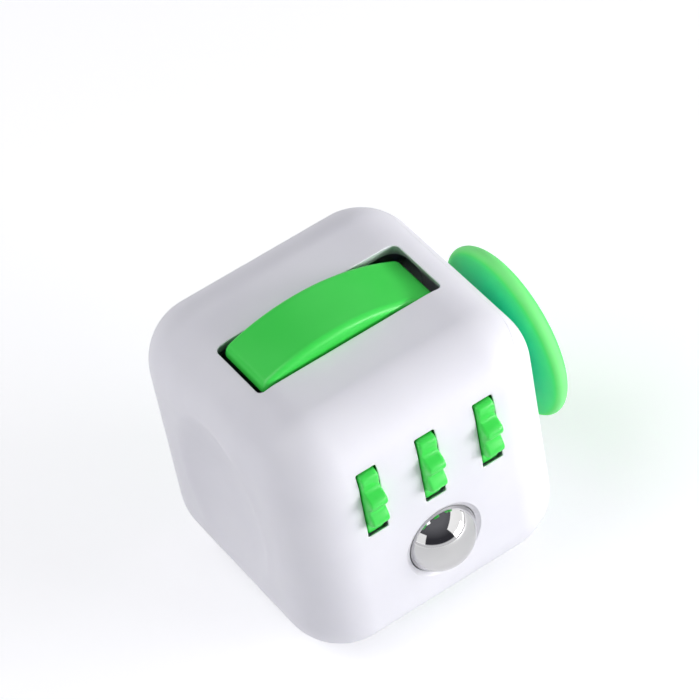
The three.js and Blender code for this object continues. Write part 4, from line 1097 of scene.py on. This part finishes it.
KEPT = {
    frame_plastic: [
        "rocker_frame", "roll_frame", "ball_cup", "glide_carriage", "glide_retainer", "glide_frame",
        "click_frame",
    ],
    spring_steel: [
        "rocker_pin", "rocker_plunger", "gear_axle", "gear_detent_spring", "ball_click_dome", "snap_dome_1",
        "snap_dome_2", "snap_dome_3", "spin_washer",
    ],
    clear_rubber: ["glide_centering_ring", "rubber_dome_1", "rubber_dome_2"],
}
for material, names in KEPT.items():
    for name in names:
        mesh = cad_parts[name].data
        mesh.materials.clear()
        mesh.materials.append(material)

# ---------------------------------------------------------------- stage, light and camera

# The floor's glow by its distance from the cube in metres: near, far, and the glow at each.
FLOOR_GLOW = (0.12, 0.8, 0.38, 1.0)
# The room's colour by direction, from 0 straight down through 0.5 level to 1 straight up.
ROOM = [
    (0.0, (0.95, 0.95, 0.98)),
    (0.56, (0.95, 0.95, 0.98)),
    (0.58, (0.045, 0.045, 0.055)),
    (0.70, (0.05, 0.05, 0.06)),
    (0.93, (0.20, 0.20, 0.22)),
]
# Soft boxes: azimuth from +X towards +Y, elevation, distance, size, watts.
LAMPS = {
    "key": (-35, 24, 0.42, (0.56, 0.30), 0.72),
    "low_front": (-48, 9, 0.40, (0.28, 0.08), 1.03),
    "side": (198, 20, 0.36, (0.16, 0.17), 0.11),
    "high_left": (160, 57, 0.45, (0.34, 0.34), 0.9),
    "rim": (45, 45, 0.45, (0.30, 0.30), 0.13),
}


def plain_floor():
    """A wide matt floor. It also glows, but only as seen by the camera and in gloss and glass."""
    bm = bmesh.new()
    bmesh.ops.create_grid(bm, x_segments=2, y_segments=2, size=3.0)
    floor = new_object("floor", mesh_of(bm, "floor"))
    floor.location.z = -0.00002
    material = bpy.data.materials.new("pale_floor")
    material.use_nodes = True
    made = Nodes(material.node_tree)
    made.tree.nodes.clear()
    far = made.length(made.node("ShaderNodeTexCoord").outputs["Object"])
    glow = made.rescaled(far, *FLOOR_GLOW, "SMOOTHSTEP")
    rays = made.node("ShaderNodeLightPath").outputs
    seen = made.math("ADD", rays["Is Camera Ray"], rays["Is Glossy Ray"])
    seen = made.math("ADD", seen, rays["Is Transmission Ray"])
    light = made.node("ShaderNodeEmission", Strength=made.math("MULTIPLY", seen, glow))
    matt = made.node("ShaderNodeBsdfDiffuse", Color=(0.86, 0.86, 0.88, 1))
    both = made.node("ShaderNodeAddShader")
    made.feed(both.inputs[0], matt.outputs[0])
    made.feed(both.inputs[1], light.outputs[0])
    made.node("ShaderNodeOutputMaterial", Surface=both.outputs[0])
    floor.data.materials.append(material)


def room_light():
    """A plain room: white up to a little over the horizon, dark above that, paler overhead."""
    world = bpy.data.worlds.new("room")
    bpy.context.scene.world = world
    world.use_nodes = True
    made = Nodes(world.node_tree)
    height = made.parts(made.node("ShaderNodeTexCoord").outputs["Generated"])[2]
    ramp = made.node("ShaderNodeValToRGB")
    stops = ramp.color_ramp.elements
    for _ in range(len(ROOM) - len(stops)):
        stops.new(0.5)
    for stop, (position, colour) in zip(stops, ROOM):
        stop.position = position
        stop.color = (*colour, 1)
    made.feed(ramp.inputs[0], made.rescaled(height, -1.0, 1.0))
    made.feed(made.tree.nodes["Background"].inputs["Color"], ramp.outputs[0])


def lamp(name, azimuth, elevation, distance, size, watts):
    """A soft box that faces the cube."""
    a, e = math.radians(azimuth), math.radians(elevation)
    away = Vector((math.cos(a) * math.cos(e), math.sin(a) * math.cos(e), math.sin(e)))
    data = bpy.data.lights.new(name, "AREA")
    data.shape = "RECTANGLE"
    data.size, data.size_y = size
    data.energy = watts
    made = new_object(name, data)
    made.location = Vector(CENTRE * MM) + away * distance
    made.rotation_euler = away.to_track_quat("Z", "Y").to_euler()


def camera(distance=0.405, lens=195.1, rise=0.1063):
    """A long lens from the upper left front, aimed above the cube by a share (rise) of its view's width."""
    right = Vector((0.818, -0.558, -0.141)).normalized()
    back = Vector((-0.301, -0.623, 0.722)).normalized()
    up = back.cross(right).normalized()
    data = bpy.data.cameras.new("camera")
    data.lens = lens
    data.sensor_width = 36.0
    data.clip_start, data.clip_end = 0.01, 20.0
    made = new_object("camera", data)
    aim = Matrix.Rotation(math.atan(rise * data.sensor_width / lens), 3, right)
    turn = Matrix((right, aim @ up, aim @ back)).transposed().to_4x4()
    made.matrix_world = Matrix.Translation(Vector(CENTRE * MM) + back * distance) @ turn
    bpy.context.scene.camera = made


plain_floor()
room_light()
for name, values in LAMPS.items():
    lamp(name, *values)
camera()
bpy.context.scene.view_settings.view_transform = "Standard"
